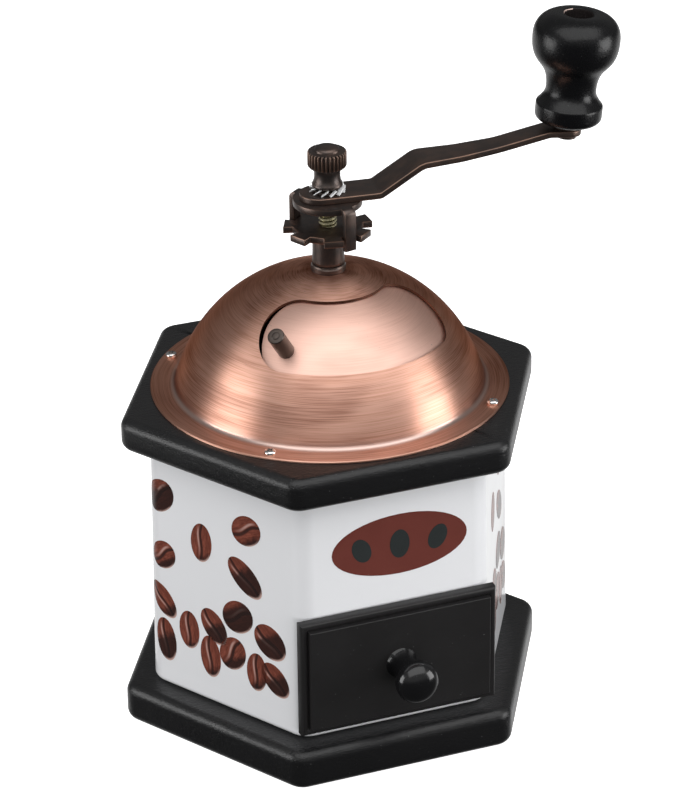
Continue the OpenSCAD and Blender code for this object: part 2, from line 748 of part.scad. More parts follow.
module thumb_nut() {
    foot = 0.79 * nut_r;
    neck = 0.69 * nut_r;
    knurl_h = 5.8;
    edge = 0.6;
    root = nut_r - 0.3;
    inside = root - 0.12;
    z_knurl = nut_h - knurl_h;
    shelf = 0.68 * nut_r;
    crown = concat([[inside, 0], [inside - 0.5, 0.35], [shelf, 0.5]],
        curve([shelf - 0.01, 0.55], [shelf - 0.4, nut_crown * 0.75], [nut_r * 0.35, nut_crown], [0, nut_crown]));
    color([0.27, 0.22, 0.2]) translate([0, 0, z_nut]) difference() {
        union() {
            cylinder(r = foot, h = 1.2);
            cylinder(r = neck, h = z_knurl + cut);
            translate([0, 0, z_knurl]) cylinder(r1 = inside - edge / 2, r2 = inside, h = edge);
            translate([0, 0, z_knurl + edge]) linear_extrude(knurl_h - edge)
                polygon(teeth(nut_ridges, root, nut_r));
            translate([0, 0, nut_h]) rotate_extrude() polygon(concat([[0, 0]], crown));
        }
        translate([0, 0, -cut]) cylinder(r = keyed_r, h = z_nut_bore - z_nut + cut);
    }
}

module knob_washer() {
    color([0.5, 0.45, 0.42]) on_pad() difference() {
        cylinder(r = knob_washer_r, h = knob_washer_h);
        translate([0, 0, -cut]) cylinder(r = rivet_hole_r, h = knob_washer_h + 2 * cut);
    }
}

module knob_rivet() {
    color([0.5, 0.45, 0.42]) on_pad() {
        translate([0, 0, -rivet_low]) cylinder(r = rivet_foot_r, h = rivet_foot_h);
        translate([0, 0, -rivet_low]) cylinder(r = rivet_r, h = rivet_low + rivet_head_low + rivet_head_h);
        translate([0, 0, rivet_head_low]) cylinder(r = rivet_head_r, h = rivet_head_h);
    }
}

// Half section of the knob, foot at y = 0
module knob_section() {
    seat = 6;
    rim_low = 3.4;
    rim_high = 7.4;
    neck_y = knob_h * 0.325;
    head_y = knob_h * 0.78;
    lip = knob_hole_r + 1;
    polygon(concat([[0, 0]],
        curve([seat, 0], [knob_foot_r * 0.8, 0.6], [knob_foot_r, 1.6], [knob_foot_r, rim_low]),
        curve([knob_foot_r, rim_high - 0.8], [knob_foot_r, rim_high - 0.3], [knob_foot_r - 0.1, rim_high],
            [knob_foot_r - 0.5, rim_high + 0.3], 4),
        curve([knob_foot_r - 0.7, rim_high + 0.5], [knob_neck_r + 0.9, rim_high + 2.2],
            [knob_neck_r, neck_y - 2], [knob_neck_r, neck_y]),
        curve([knob_neck_r + 0.01, neck_y + 0.5], [knob_neck_r + 0.1, neck_y + 5.5],
            [knob_r, head_y - 9.5], [knob_r, head_y], 10),
        curve([knob_r - 0.01, head_y + 0.3], [knob_r, head_y + 6], [lip + 4.6, knob_h], [lip, knob_h], 10),
        [[0, knob_h]]));
}

module knob() {
    color([0.12, 0.12, 0.12]) on_pad() translate([0, 0, knob_low]) difference() {
        rotate_extrude() knob_section();
        translate([0, 0, -cut]) cylinder(r = rivet_hole_r, h = knob_h + 2 * cut);
        translate([0, 0, knob_h - knob_hole_depth]) cylinder(r = knob_hole_r, h = knob_hole_depth + cut);
        translate([0, 0, knob_h - 0.8]) cylinder(r1 = knob_hole_r, r2 = knob_hole_r + 1, h = 0.81);
    }
}

module drawer_front() {
    back_t = 1.8;
    thin = 0.1;
    inner_w = front_w - 2 * front_edge;
    inner_h = front_h - 2 * front_edge;
    color([0.12, 0.12, 0.12]) difference() {
        hull() {
            translate([-front_w / 2, y_front_back - back_t, z_front]) cube([front_w, back_t, front_h]);
            translate([-inner_w / 2, y_front, z_front + front_edge]) cube([inner_w, thin, inner_h]);
        }
        translate([0, y_front - cut, z_pull]) rotate([-90, 0, 0])
            cylinder(r = pull_screw_r + fit_gap, h = front_t + 2 * cut);
    }
}

module drawer_side(side) {
    x = side * (drawer_w - drawer_wall) / 2;
    color([0.62, 0.46, 0.3]) translate([x - drawer_wall / 2, y_front_back, z_drawer])
        cube([drawer_wall, drawer_depth, drawer_h]);
}

module drawer_back() {
    y = y_front_back + drawer_depth - drawer_wall;
    color([0.62, 0.46, 0.3]) translate([-drawer_inner_w / 2, y, z_drawer])
        cube([drawer_inner_w, drawer_wall, drawer_h]);
}

module drawer_floor() {
    color([0.66, 0.5, 0.34]) translate([-drawer_inner_w / 2, y_front_back, z_drawer])
        cube([drawer_inner_w, drawer_depth - drawer_wall, drawer_floor_t]);
}

// Half section of the drawer knob, seat at y = 0
module pull_section() {
    widest = pull_len - 0.75 * pull_r;
    waist = pull_stem_r - 0.6;
    polygon(concat([[0, 0]],
        curve([pull_stem_r + 0.9, 0], [waist, 2], [waist, 4.5], [pull_stem_r, widest - 4], 6),
        curve([pull_stem_r + 0.3, widest - 3.7], [pull_r - 0.4, widest - 3.2],
            [pull_r, widest - 1.6], [pull_r, widest], 6),
        curve([pull_r - 0.01, widest + 0.3], [pull_r, widest + 3],
            [pull_r * 0.6, pull_len], [0, pull_len])));
}

module drawer_knob() {
    color([0.08, 0.08, 0.08]) translate([0, y_front, z_pull]) rotate([90, 0, 0]) difference() {
        rotate_extrude() pull_section();
        translate([0, 0, -cut]) cylinder(r = pull_screw_r + fit_gap, h = pull_screw_bite + 0.3 + cut);
    }
}

module drawer_knob_screw() {
    color([0.6, 0.6, 0.62]) translate([0, y_front_back, z_pull]) rotate([90, 0, 0]) {
        cylinder(r = pull_screw_r, h = front_t + pull_screw_bite);
        mirror([0, 0, 1]) cross_head(pull_screw_r * 2, 1.8);
    }
}

base_board();
ceramic_body();
top_board();
for (i = [0:2]) tie_rod(i);
drawer_runner(true);  // drawer_runner_left
drawer_runner(false);  // drawer_runner_right
dome_hopper();
for (i = [0:3]) dome_screw(i);
dome_collar();
collar_nut();
burr_housing();
for (i = [0:2]) housing_screw(i);
outer_burr();
bearing_bridge();
for (i = [0:1]) bridge_screw(i);
shutter();
shutter_pin();
spindle();
inner_burr();
burr_nut();
spindle_clip();
star_wheel();
lock_plate();
crank_arm();
toothed_washer();
thumb_nut();
knob_washer();
knob_rivet();
knob();
drawer_front();
drawer_side(-1);  // drawer_side_left
drawer_side(1);  // drawer_side_right
drawer_back();
drawer_floor();
drawer_knob();
drawer_knob_screw();
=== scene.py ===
"""Hand crank coffee grinder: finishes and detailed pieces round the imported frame.

Shapes are made in millimetres about the frame's own origin and are scaled to metres as
they are finished. Z is up, the drawer faces -Y, and the hexagon's corners lie on X.
"""

from __future__ import annotations

import logging
import math
from abc import ABC, abstractmethod
from dataclasses import dataclass, field
from enum import Enum
from typing import Callable, Sequence, Union

import bmesh
import bpy
from mathutils import Matrix, Vector

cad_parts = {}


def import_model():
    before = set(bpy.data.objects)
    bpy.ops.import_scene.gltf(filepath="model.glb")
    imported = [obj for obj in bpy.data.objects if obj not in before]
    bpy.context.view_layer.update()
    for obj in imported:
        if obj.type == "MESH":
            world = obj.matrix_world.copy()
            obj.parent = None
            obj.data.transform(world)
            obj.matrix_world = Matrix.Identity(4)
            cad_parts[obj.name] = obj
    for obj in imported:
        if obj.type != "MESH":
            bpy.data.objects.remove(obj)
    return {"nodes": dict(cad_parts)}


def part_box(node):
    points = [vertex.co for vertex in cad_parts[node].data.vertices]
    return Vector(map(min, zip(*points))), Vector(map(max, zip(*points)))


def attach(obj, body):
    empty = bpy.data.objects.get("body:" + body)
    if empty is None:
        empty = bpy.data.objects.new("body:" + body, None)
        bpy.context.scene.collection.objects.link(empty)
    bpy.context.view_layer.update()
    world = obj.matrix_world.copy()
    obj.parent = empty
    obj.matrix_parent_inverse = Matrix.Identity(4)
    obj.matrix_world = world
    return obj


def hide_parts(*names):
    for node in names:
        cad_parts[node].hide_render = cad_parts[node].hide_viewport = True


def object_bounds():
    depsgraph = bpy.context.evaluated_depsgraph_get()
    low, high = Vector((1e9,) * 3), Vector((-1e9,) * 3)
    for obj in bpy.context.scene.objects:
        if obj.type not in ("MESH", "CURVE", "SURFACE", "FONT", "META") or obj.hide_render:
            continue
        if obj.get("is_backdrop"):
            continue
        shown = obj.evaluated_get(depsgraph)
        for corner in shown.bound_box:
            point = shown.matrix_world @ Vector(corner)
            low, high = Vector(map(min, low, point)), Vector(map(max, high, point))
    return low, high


LOG = logging.getLogger("grinder")
MM = 0.001
FULL_TURN = 2 * math.pi
WEAR = "wear"
LIT = "lit"
SHADE = "shade"

Point = tuple[float, float]
Triple = tuple[float, float, float]
Colour = Triple
Number = Union["Field", float, int]


class Body(Enum):
    """The frame's moving bodies."""

    FRAME = "frame"
    CRANK = "crank"
    KNOB = "crank_knob"
    SHUTTER = "shutter"
    DRAWER = "drawer"


class Slot(Enum):
    """The record's material slots."""

    WOOD = "black_wood"
    CERAMIC = "glazed_ceramic"
    BOX_WOOD = "drawer_wood"
    COPPER = "copper_sheet"
    BRONZE = "bronzed_steel"
    SPINDLE = "spindle_steel"
    CHROME = "bright_chrome"


class Cut(Enum):
    """Ways of combining two meshes."""

    AWAY = "DIFFERENCE"
    JOIN = "UNION"
    KEEP = "INTERSECT"


# Geometry helpers


def polar(radius: float, degrees: float, z: float = 0.0) -> Vector:
    """Returns the point at a radius and an angle about Z."""
    turn = math.radians(degrees)
    return Vector((radius * math.cos(turn), radius * math.sin(turn), z))


def arc(centre: Point, radius: float, start: float, end: float, steps: int) -> list[Point]:
    """Points on an arc in a plane.

    Args:
        centre: Centre of the arc.
        radius: Radius of the arc.
        start: First angle in degrees.
        end: Last angle in degrees.
        steps: Number of chords.

    Returns:
        The points, both ends included.
    """
    turns = [math.radians(start + (end - start) * i / steps) for i in range(steps + 1)]
    return [(centre[0] + radius * math.cos(t), centre[1] + radius * math.sin(t)) for t in turns]


def curve(a: Point, b: Point, c: Point, d: Point, steps: int = 12) -> list[Point]:
    """Points along a cubic curve.

    Args:
        a: First point.
        b: First handle.
        c: Second handle.
        d: Last point.
        steps: Number of chords.

    Returns:
        The points, both ends included.
    """
    found = []
    for i in range(steps + 1):
        t = i / steps
        weights = ((1 - t) ** 3, 3 * (1 - t) ** 2 * t, 3 * (1 - t) * t * t, t**3)
        found.append(tuple(sum(w * p[k] for w, p in zip(weights, (a, b, c, d))) for k in (0, 1)))
    return found


def hexagon_ring(apothem: float, corner_r: float, z: float, steps: int = 8) -> list[Vector]:
    """Outline of a hexagon with rounded corners on the X axis.

    Args:
        apothem: Distance of the flat sides from the centre.
        corner_r: Radius of the corners.
        z: Height of the outline.
        steps: Chords in each corner.

    Returns:
        The outline's points.
    """
    reach = (apothem - corner_r) / math.cos(math.radians(30))
    return [
        polar(reach, 60 * side, z) + polar(corner_r, 60 * side - 30 + 60 * step / steps)
        for side in range(6)
        for step in range(steps + 1)
    ]


def rolled_edge(radius: float, steps: int) -> list[Point]:
    """Returns the inset and rise of points round an edge, from its flat side up to its upright side."""
    turns = [math.radians(90 - 90 * i / steps) for i in range(steps + 1)]
    return [(radius * (1 - math.cos(t)), radius * (1 - math.sin(t))) for t in turns]


def outward(azimuth: float, elevation: float) -> Vector:
    """Returns the direction of an azimuth and an elevation in degrees."""
    e = math.radians(elevation)
    return polar(math.cos(e), azimuth, math.sin(e))


def shaded(colour: Colour, share: float) -> Colour:
    """Returns a colour made darker or lighter."""
    return tuple(share * c for c in colour)


def drawn_to(ring: Sequence[Vector], radius: float, z: float) -> list[Vector]:
    """Returns a round ring whose points lie at the same angles as another ring's."""
    return [Vector((p.x, p.y, 0)).normalized() * radius + Vector((0, 0, z)) for p in ring]


def bean_outline(inner: float, outer: float, middle: float, half: float) -> list[Point]:
    """Outline of a ring sector with round ends.

    Args:
        inner: Inner radius.
        outer: Outer radius.
        middle: Angle of the sector's middle, in degrees.
        half: Angle from the middle to the centre of each round end.

    Returns:
        The outline's points, anticlockwise.
    """
    centre_r, lobe = (inner + outer) / 2, (outer - inner) / 2
    low, high = middle - half, middle + half
    far, near = polar(centre_r, high), polar(centre_r, low)
    return (
        arc((0, 0), outer, low, high, 88)
        + arc((far.x, far.y), lobe, high + 4, high + 176, 44)
        + arc((0, 0), inner, high, low, 56)
        + arc((near.x, near.y), lobe, low + 184, low + 356, 44)
    )


@dataclass(frozen=True)
class Span:
    """A CAD node's box at rest, in millimetres."""

    low: Vector
    high: Vector

    @classmethod
    def of(cls, node: str) -> Span:
        """Returns the box of a node of the frame."""
        low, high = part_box(node)
        return cls(low / MM, high / MM)

    @property
    def middle(self) -> Vector:
        """The box's centre."""
        return (self.low + self.high) / 2

    @property
    def size(self) -> Vector:
        """The box's edges."""
        return self.high - self.low


# Shader nodes


def combining(operation: str, swapped: bool = False) -> Callable[[Field, Number], Field]:
    """Makes an operator for the fields.

    Args:
        operation: The Math node's operation.
        swapped: Whether the other number comes first.

    Returns:
        The operator.
    """

    def operator(self: Field, other: Number) -> Field:
        """Combines the field with another number."""
        return self.nodes.math(operation, *((other, self) if swapped else (self, other)))

    return operator


class Field:
    """A number socket of a node tree, combined with Python's operators."""

    __add__ = __radd__ = combining("ADD")
    __sub__ = combining("SUBTRACT")
    __rsub__ = combining("SUBTRACT", swapped=True)
    __mul__ = __rmul__ = combining("MULTIPLY")
    __truediv__ = combining("DIVIDE")
    __pow__ = combining("POWER")

    def __init__(self, nodes: Nodes, socket: bpy.types.NodeSocket) -> None:
        """Wraps a socket of a node tree."""
        self.nodes = nodes
        self.socket = socket

    def __abs__(self) -> Field:
        """Drops the sign."""
        return self.nodes.math("ABSOLUTE", self, 0.0)

    def step(self, low: float, high: float) -> Field:
        """Returns a soft step from 0 at low to 1 at high, where low may be the greater."""
        settings = {"interpolation_type": "SMOOTHSTEP"}
        values = {"Value": self, "From Min": min(low, high), "From Max": max(low, high)}
        values |= {"To Min": float(low > high), "To Max": float(low <= high)}
        return Field(self.nodes, self.nodes.node("ShaderNodeMapRange", settings, values).outputs[0])


class Nodes:
    """A node tree in the making."""

    def __init__(self, tree: bpy.types.NodeTree) -> None:
        """Takes over a tree."""
        self.tree = tree

    def put(self, socket: bpy.types.NodeSocket, value: object) -> None:
        """Links a socket to a field or another socket, or sets it to a constant."""
        source = value.socket if isinstance(value, Field) else value
        if isinstance(source, bpy.types.NodeSocket):
            self.tree.links.new(source, socket)
        else:
            socket.default_value = (*source, 1.0) if socket.type == "RGBA" else source

    def node(self, kind: str, settings: dict | None = None, values: dict | None = None) -> bpy.types.Node:
        """Adds a node.

        Args:
            kind: The node's type.
            settings: The node's own settings.
            values: Values or links of its sockets, by name or number.

        Returns:
            The node.
        """
        made = self.tree.nodes.new(kind)
        for key, value in (settings or {}).items():
            setattr(made, key, value)
        for key, value in (values or {}).items():
            self.put(made.inputs[key], value)
        return made

    def math(self, operation: str, first: Number, second: Number) -> Field:
        """Combines two numbers with a Math node."""
        made = self.node("ShaderNodeMath", {"operation": operation}, {0: first, 1: second})
        return Field(self, made.outputs[0])


class Paint(Nodes):
    """One material's node tree, ending in a Principled shader."""

    def __init__(self, name: str) -> None:
        """Starts a material of that name."""
        self.material = bpy.data.materials.new(name)
        self.material.use_nodes = True
        super().__init__(self.material.node_tree)
        self.tree.nodes.clear()
        self.shader = self.node("ShaderNodeBsdfPrincipled")
        self.node("ShaderNodeOutputMaterial", {}, {"Surface": self.shader.outputs[0]})

    def clip(self, value: Field) -> Field:
        """Keeps a number between 0 and 1."""
        return self.math("MINIMUM", self.math("MAXIMUM", value, 0.0), 1.0)

    def place(self) -> bpy.types.NodeSocket:
        """Returns the point in the frame, in millimetres."""
        point = self.node("ShaderNodeTexCoord").outputs["Object"]
        return self.scaled(point, (1 / MM,) * 3)

    def scaled(self, vector: bpy.types.NodeSocket, by: Triple) -> bpy.types.NodeSocket:
        """Multiplies a vector by three numbers."""
        return self.node("ShaderNodeVectorMath", {"operation": "MULTIPLY"}, {0: vector, 1: by}).outputs[0]

    def parts(self, vector: bpy.types.NodeSocket) -> tuple[Field, Field, Field]:
        """Returns a vector's three numbers."""
        outputs = self.node("ShaderNodeSeparateXYZ", {}, {0: vector}).outputs
        return Field(self, outputs[0]), Field(self, outputs[1]), Field(self, outputs[2])

    def joined(self, x: Number, y: Number, z: Number) -> bpy.types.NodeSocket:
        """Returns a vector of three numbers."""
        return self.node("ShaderNodeCombineXYZ", {}, {0: x, 1: y, 2: z}).outputs[0]

    def noise(self, vector: bpy.types.NodeSocket, scale: float, detail: float, bend: float = 0.0) -> Field:
        """Returns noise between 0 and 1 over a vector."""
        values = {"Vector": vector, "Scale": scale, "Detail": detail, "Distortion": bend}
        return Field(self, self.node("ShaderNodeTexNoise", {}, values).outputs[0])

    def attribute(self, name: str) -> Field:
        """Returns a number that the mesh carries."""
        return Field(self, self.node("ShaderNodeAttribute", {"attribute_name": name}).outputs["Fac"])

    def mix(self, mask: Number, first: object, second: object) -> bpy.types.NodeSocket:
        """Mixes two colours.

        Args:
            mask: 0 for the first colour and 1 for the second.
            first: A colour or a socket.
            second: A colour or a socket.

        Returns:
            The mixed colour's socket.
        """
        settings = {"data_type": "RGBA"}
        return self.node("ShaderNodeMix", settings, {0: mask, 6: first, 7: second}).outputs[2]

    def layered(self, base: object, *layers: tuple[Number, object]) -> object:
        """Lays colours over a base, each as thickly as its mask says."""
        for mask, colour in layers:
            base = self.mix(mask, base, colour)
        return base

    def bump(self, height: Field, depth: float, strength: float = 1.0) -> bpy.types.NodeSocket:
        """Returns a normal that a height map bends, for a depth in millimetres."""
        values = {"Height": height, "Distance": depth * MM, "Strength": strength}
        return self.node("ShaderNodeBump", {}, values).outputs[0]

    def dress(self, **values: object) -> None:
        """Sets the Principled shader's sockets, named with underscores for spaces."""
        for key, value in values.items():
            self.put(self.shader.inputs[key.replace("_", " ").title().replace("Ior", "IOR")], value)


@dataclass(frozen=True)
class Finish(ABC):
    """A finish that is laid on one or more pieces."""

    name: str

    @abstractmethod
    def lay(self, paint: Paint) -> None:
        """Builds the finish's nodes."""

    def material(self) -> bpy.types.Material:
        """Returns the finish's material, made once."""
        made = bpy.data.materials.get(self.name)
        if made is None:
            paint = Paint(self.name)
            self.lay(paint)
            made = paint.material
        return made


@dataclass(frozen=True)
class PaintedWood(Finish):
    """Black paint on wood, with the grain showing through as a fine relief."""

    colour: Colour = (0.0060, 0.0060, 0.0064)
    roughness: float = 0.30
    grain: Triple = (0.35, 2.2, 2.2)
    relief: float = 0.13
    dust: float = 0.8
    shine: float = 0.34
    coat: float = 0.0
    speck: Colour = (0.16, 0.16, 0.16)

    def lay(self, paint: Paint) -> None:
        """Builds the finish's nodes."""
        place = paint.place()
        grain = paint.noise(paint.scaled(place, self.grain), 1.0, 4.0, 0.4)
        peel = paint.noise(place, 0.55, 2.0)
        cloud = paint.noise(place, 0.045, 3.0)
        specks = paint.noise(place, 1.5, 1.0).step(0.775, 0.80) * self.dust
        base = paint.layered(self.colour, (cloud, shaded(self.colour, 1.7)), (specks, self.speck))
        paint.dress(
            base_color=base,
            roughness=self.roughness + 0.12 * (grain - 0.5) + 0.08 * (cloud - 0.5),
            normal=paint.bump(grain + 0.6 * peel, self.relief),
            specular_ior_level=self.shine,
            coat_weight=self.coat,
            coat_roughness=0.06,
        )


@dataclass(frozen=True)
class Glaze(Finish):
    """White glazed ceramic."""

    colour: Colour = (0.84, 0.845, 0.865)
    pit: Colour = (0.35, 0.33, 0.32)

    def lay(self, paint: Paint) -> None:
        """Builds the finish's nodes."""
        place = paint.place()
        wave = paint.noise(place, 0.03, 1.0)
        cloud = paint.noise(place, 0.018, 2.0)
        pits = paint.noise(place, 1.3, 1.0).step(0.83, 0.86)
        paint.dress(
            base_color=paint.layered(self.colour, (cloud, shaded(self.colour, 0.97)), (pits * 0.5, self.pit)),
            roughness=0.10 + 0.06 * cloud,
            normal=paint.bump(wave, 0.5, 0.6),
        )


@dataclass(frozen=True)
class BeanPrint(Finish):
    """A printed roasted bean: crease along it, dark on one side, pale where it shines."""

    brown: Colour = (0.135, 0.038, 0.025)
    dark: Colour = (0.022, 0.012, 0.011)
    pale: Colour = (0.72, 0.48, 0.42)

    def lay(self, paint: Paint) -> None:
        """Builds the finish's nodes."""
        across, along, _ = paint.parts(paint.node("ShaderNodeUVMap").outputs[0])
        place = paint.place()
        blotch = paint.noise(place, 0.5, 3.0)
        skin = paint.noise(paint.joined(across * 9.0, along * 2.5, blotch), 1.0, 3.0)
        shade = paint.attribute(SHADE)
        lit = paint.attribute(LIT)
        sway = across + 0.10 * paint.math("SINE", along * 3.4, 0.0)
        crease = abs(sway).step(0.17, 0.05)
        lip = abs(sway + 0.24).step(0.14, 0.0) * along.step(-0.9, 0.2) * along.step(0.95, 0.4)
        gone = (lit + 1.6 * shade + 0.5 * (blotch - 0.5)).step(1.02, 0.62)
        rim = (across * across + along * along).step(0.72, 0.98)
        shine = (lit + 0.3 * (skin - 0.5)).step(0.55, 0.9) * rim
        base = paint.layered(
            self.brown, (skin.step(0.35, 0.75), shaded(self.brown, 1.9)), (0.55 * lip, self.pale),
            (0.85 * crease, self.dark), (0.9 * (1 - gone), self.dark), (0.8 * shine, self.pale),
        )
        paint.dress(base_color=base, roughness=0.22, normal=paint.bump(skin, 0.02))


@dataclass(frozen=True)
class FlatPrint(Finish):
    """A plain printed field of one ink, slightly uneven."""

    colour: Colour = (0.135, 0.036, 0.028)

    def lay(self, paint: Paint) -> None:
        """Builds the finish's nodes."""
        place = paint.place()
        cloud = paint.noise(place, 0.12, 3.0)
        grain = paint.noise(place, 3.0, 2.0)
        light, dark = shaded(self.colour, 1.25), shaded(self.colour, 0.6)
        paint.dress(
            base_color=paint.layered(self.colour, (cloud, light), (0.25 * grain, dark)),
            roughness=0.2 + 0.08 * grain,
            normal=paint.bump(grain, 0.01),
        )


@dataclass(frozen=True)
class BrushedCopper(Finish):
    """Copper brushed in circles about the spindle, with a dark patina left in places and pale bands of
    painted reflection.
    """

    metal: Colour = (0.83, 0.49, 0.38)
    lines: Colour = (0.66, 0.345, 0.245)
    patina: Colour = (0.22, 0.085, 0.055)
    bright: Colour = (0.74, 0.56, 0.50)
    smudge: Colour = (0.30, 0.22, 0.20)
    grazing: Colour = (0.50, 0.27, 0.20)
    roughness: float = 0.43
    brushed: float = 0.78
    shadow_bands: tuple[Triple, ...] = ()
    polish_and_reflection_bands: tuple[Triple, ...] = ()
    amount: float = 0.6

    def lay(self, paint: Paint) -> None:
        """Builds the finish's nodes."""
        place = paint.place()
        x, y, z = paint.parts(place)
        radius = (x * x + y * y) ** 0.5
        nx, ny = x / (radius + 0.01), y / (radius + 0.01)
        down = radius - z
        fine = paint.noise(paint.joined(nx * 2.6, ny * 2.6, down * 3.1), 1.0, 2.5)
        broad = paint.noise(paint.joined(nx * 1.3, ny * 1.3, down * 0.45), 1.0, 3.0)
        worn = paint.noise(paint.joined(nx * 1.1, ny * 1.1, down * 0.06), 1.0, 2.0)
        lines = fine.step(0.30, 0.62) * (0.88 + 0.12 * broad.step(0.35, 0.6))
        dark = worn.step(0.60, 0.36) * (1.0 - 0.5 * lines)
        dots = paint.noise(place, 1.1, 1.0).step(0.78, 0.82)
        bands = [(weight * radius.step(near, far), self.patina) for near, far, weight in self.shadow_bands]
        # Painted reflection: the pale bands stand for the white body reflected in the foot's fillet, and they
        # are also made smoother.
        polish_and_reflection = sum(
            radius.step(start, crest) * radius.step(end, crest) for start, crest, end in self.polish_and_reflection_bands
        )
        base = paint.layered(
            self.lines, (lines, self.metal), (self.amount * dark, self.patina), *bands,
            (0.6 * dots, self.smudge), (polish_and_reflection, self.bright),
        )
        paint.dress(
            base_color=base,
            metallic=1.0,
            roughness=self.roughness + 0.10 * (fine - 0.5) + 0.10 * dark - 0.14 * polish_and_reflection,
            normal=paint.bump(fine, 0.004),
            anisotropic=self.brushed,
            anisotropic_rotation=0.25,
            specular_tint=self.grazing,
        )


@dataclass(frozen=True)
class AntiqueBronze(Finish):
    """Dark bronzed steel, rubbed to copper along its edges."""

    dark: Colour = (0.082, 0.070, 0.066)
    brown: Colour = (0.132, 0.096, 0.082)
    copper: Colour = (0.33, 0.19, 0.13)
    roughness: float = 0.38
    rub: float = 0.75

    def lay(self, paint: Paint) -> None:
        """Builds the finish's nodes."""
        place = paint.place()
        cloud = paint.noise(place, 0.16, 4.0)
        grain = paint.noise(place, 2.4, 3.0)
        brush = paint.noise(paint.scaled(place, (0.6, 0.6, 5.0)), 1.0, 3.0)
        edge = paint.attribute(WEAR) * (0.35 + 1.1 * cloud)
        specks = grain.step(0.70, 0.80) * cloud.step(0.45, 0.7)
        base = paint.layered(
            self.dark, (cloud.step(0.32, 0.68), self.brown),
            (0.22 * brush.step(0.45, 0.75), shaded(self.copper, 0.45)),
            (0.25 * specks, self.copper), (paint.clip(edge * self.rub), self.copper),
        )
        paint.dress(
            base_color=base,
            metallic=0.92,
            roughness=self.roughness + 0.18 * (grain - 0.5) - 0.08 * paint.clip(edge),
            normal=paint.bump(grain, 0.02),
        )


@dataclass(frozen=True)
class BareMetal(Finish):
    """Plain metal with fine scratches, and painted shade in a thread's roots where crest_r is set."""

    colour: Colour = (0.62, 0.62, 0.64)
    roughness: float = 0.25
    stain_and_shade: Colour = (0.30, 0.29, 0.28)
    relief: float = 0.004
    metallic: float = 1.0
    root_r: float = 0.0
    crest_r: float = 0.0

    def lay(self, paint: Paint) -> None:
        """Builds the finish's nodes."""
        place = paint.place()
        cloud = paint.noise(place, 0.25, 3.0)
        scratch = paint.noise(paint.scaled(place, (1.2, 6.0, 1.2)), 1.0, 3.0)
        base = paint.mix(0.5 * cloud.step(0.45, 0.75), self.colour, self.stain_and_shade)
        # Painted shade: a thread's roots are painted darker than its crests.
        if self.crest_r:
            x, y, _ = paint.parts(place)
            base = paint.mix(((x * x + y * y) ** 0.5).step(self.root_r, self.crest_r), self.stain_and_shade, base)
        paint.dress(
            base_color=base,
            metallic=self.metallic,
            roughness=self.roughness + 0.15 * (scratch - 0.5),
            normal=paint.bump(scratch, self.relief),
        )


@dataclass(frozen=True)
class RawWood(Finish):
    """Unpainted light wood with its grain along Y."""

    light: Colour = (0.56, 0.36, 0.19)
    dark: Colour = (0.33, 0.17, 0.075)

    def lay(self, paint: Paint) -> None:
        """Builds the finish's nodes."""
        place = paint.place()
        bend = paint.noise(paint.scaled(place, (0.05, 0.012, 0.05)), 1.0, 2.0)
        x, y, z = paint.parts(place)
        rings = paint.noise(paint.joined(x * 0.35 + bend * 4.0, y * 0.012, z * 0.35), 1.0, 3.0)
        pores = paint.noise(paint.scaled(place, (2.2, 0.10, 2.2)), 1.0, 4.0)
        grooves = 0.4 * pores.step(0.55, 0.75)
        base = paint.layered(self.light, (rings.step(0.3, 0.7), self.dark), (grooves, shaded(self.dark, 0.6)))
        paint.dress(base_color=base, roughness=0.62, normal=paint.bump(pores, 0.05), specular_ior_level=0.3)


BOARD_BLACK = PaintedWood("board_black", shine=0.42)
KNOB_BLACK = PaintedWood(
    "knob_black", colour=(0.0022, 0.0022, 0.0026), roughness=0.27, grain=(1.0, 1.0, 1.0), relief=0.06,
    dust=0.3,
)
FRONT_BLACK = PaintedWood(
    "front_black", colour=(0.0125, 0.0120, 0.0122), roughness=0.36, grain=(0.35, 1.6, 1.6), relief=0.03,
)
PULL_BLACK = PaintedWood(
    "pull_black", colour=(0.004, 0.004, 0.0044), roughness=0.22, relief=0.01, coat=0.4, dust=0.2,
)
CHIPPED_RIM = PaintedWood("chipped_rim", colour=(0.46, 0.35, 0.31), roughness=0.5)
# Near-black, matte paint in the knob's top hole: painted shade.
HOLE_SHADE = PaintedWood("knob_hole_shade", colour=(0.003, 0.0010, 0.0008), roughness=0.85)
WHITE_GLAZE = Glaze("white_glaze")
BEAN_PRINT = BeanPrint("bean_print")
OVAL_PRINT = FlatPrint("oval_print")
MOTIF_PRINT = FlatPrint("motif_print", colour=(0.026, 0.030, 0.030))
# The pale band at the dome's foot is a painted reflection of the white body.
DOME_COPPER = BrushedCopper(
    "dome_copper", shadow_bands=((11.5, 6.5, 0.5),), polish_and_reflection_bands=((51.6, 52.7, 54.4),)
)
SHUTTER_COPPER = BrushedCopper(
    "shutter_copper", metal=(0.90, 0.59, 0.49), lines=(0.85, 0.54, 0.44), roughness=0.46, brushed=0.25,
    amount=0.08,
)
# Near-black copper on the opening's cut edge: painted shade of the gap between dome and shutter.
SHADED_CUT_EDGE = BareMetal("cut_edge_shade", colour=(0.13, 0.065, 0.045), roughness=0.5, stain_and_shade=(0.05, 0.025, 0.018))
MECHANISM_BRONZE = AntiqueBronze("mechanism_bronze")
PIN_BRONZE = AntiqueBronze("pin_bronze", dark=(0.066, 0.056, 0.051), brown=(0.095, 0.077, 0.067), rub=0.4)
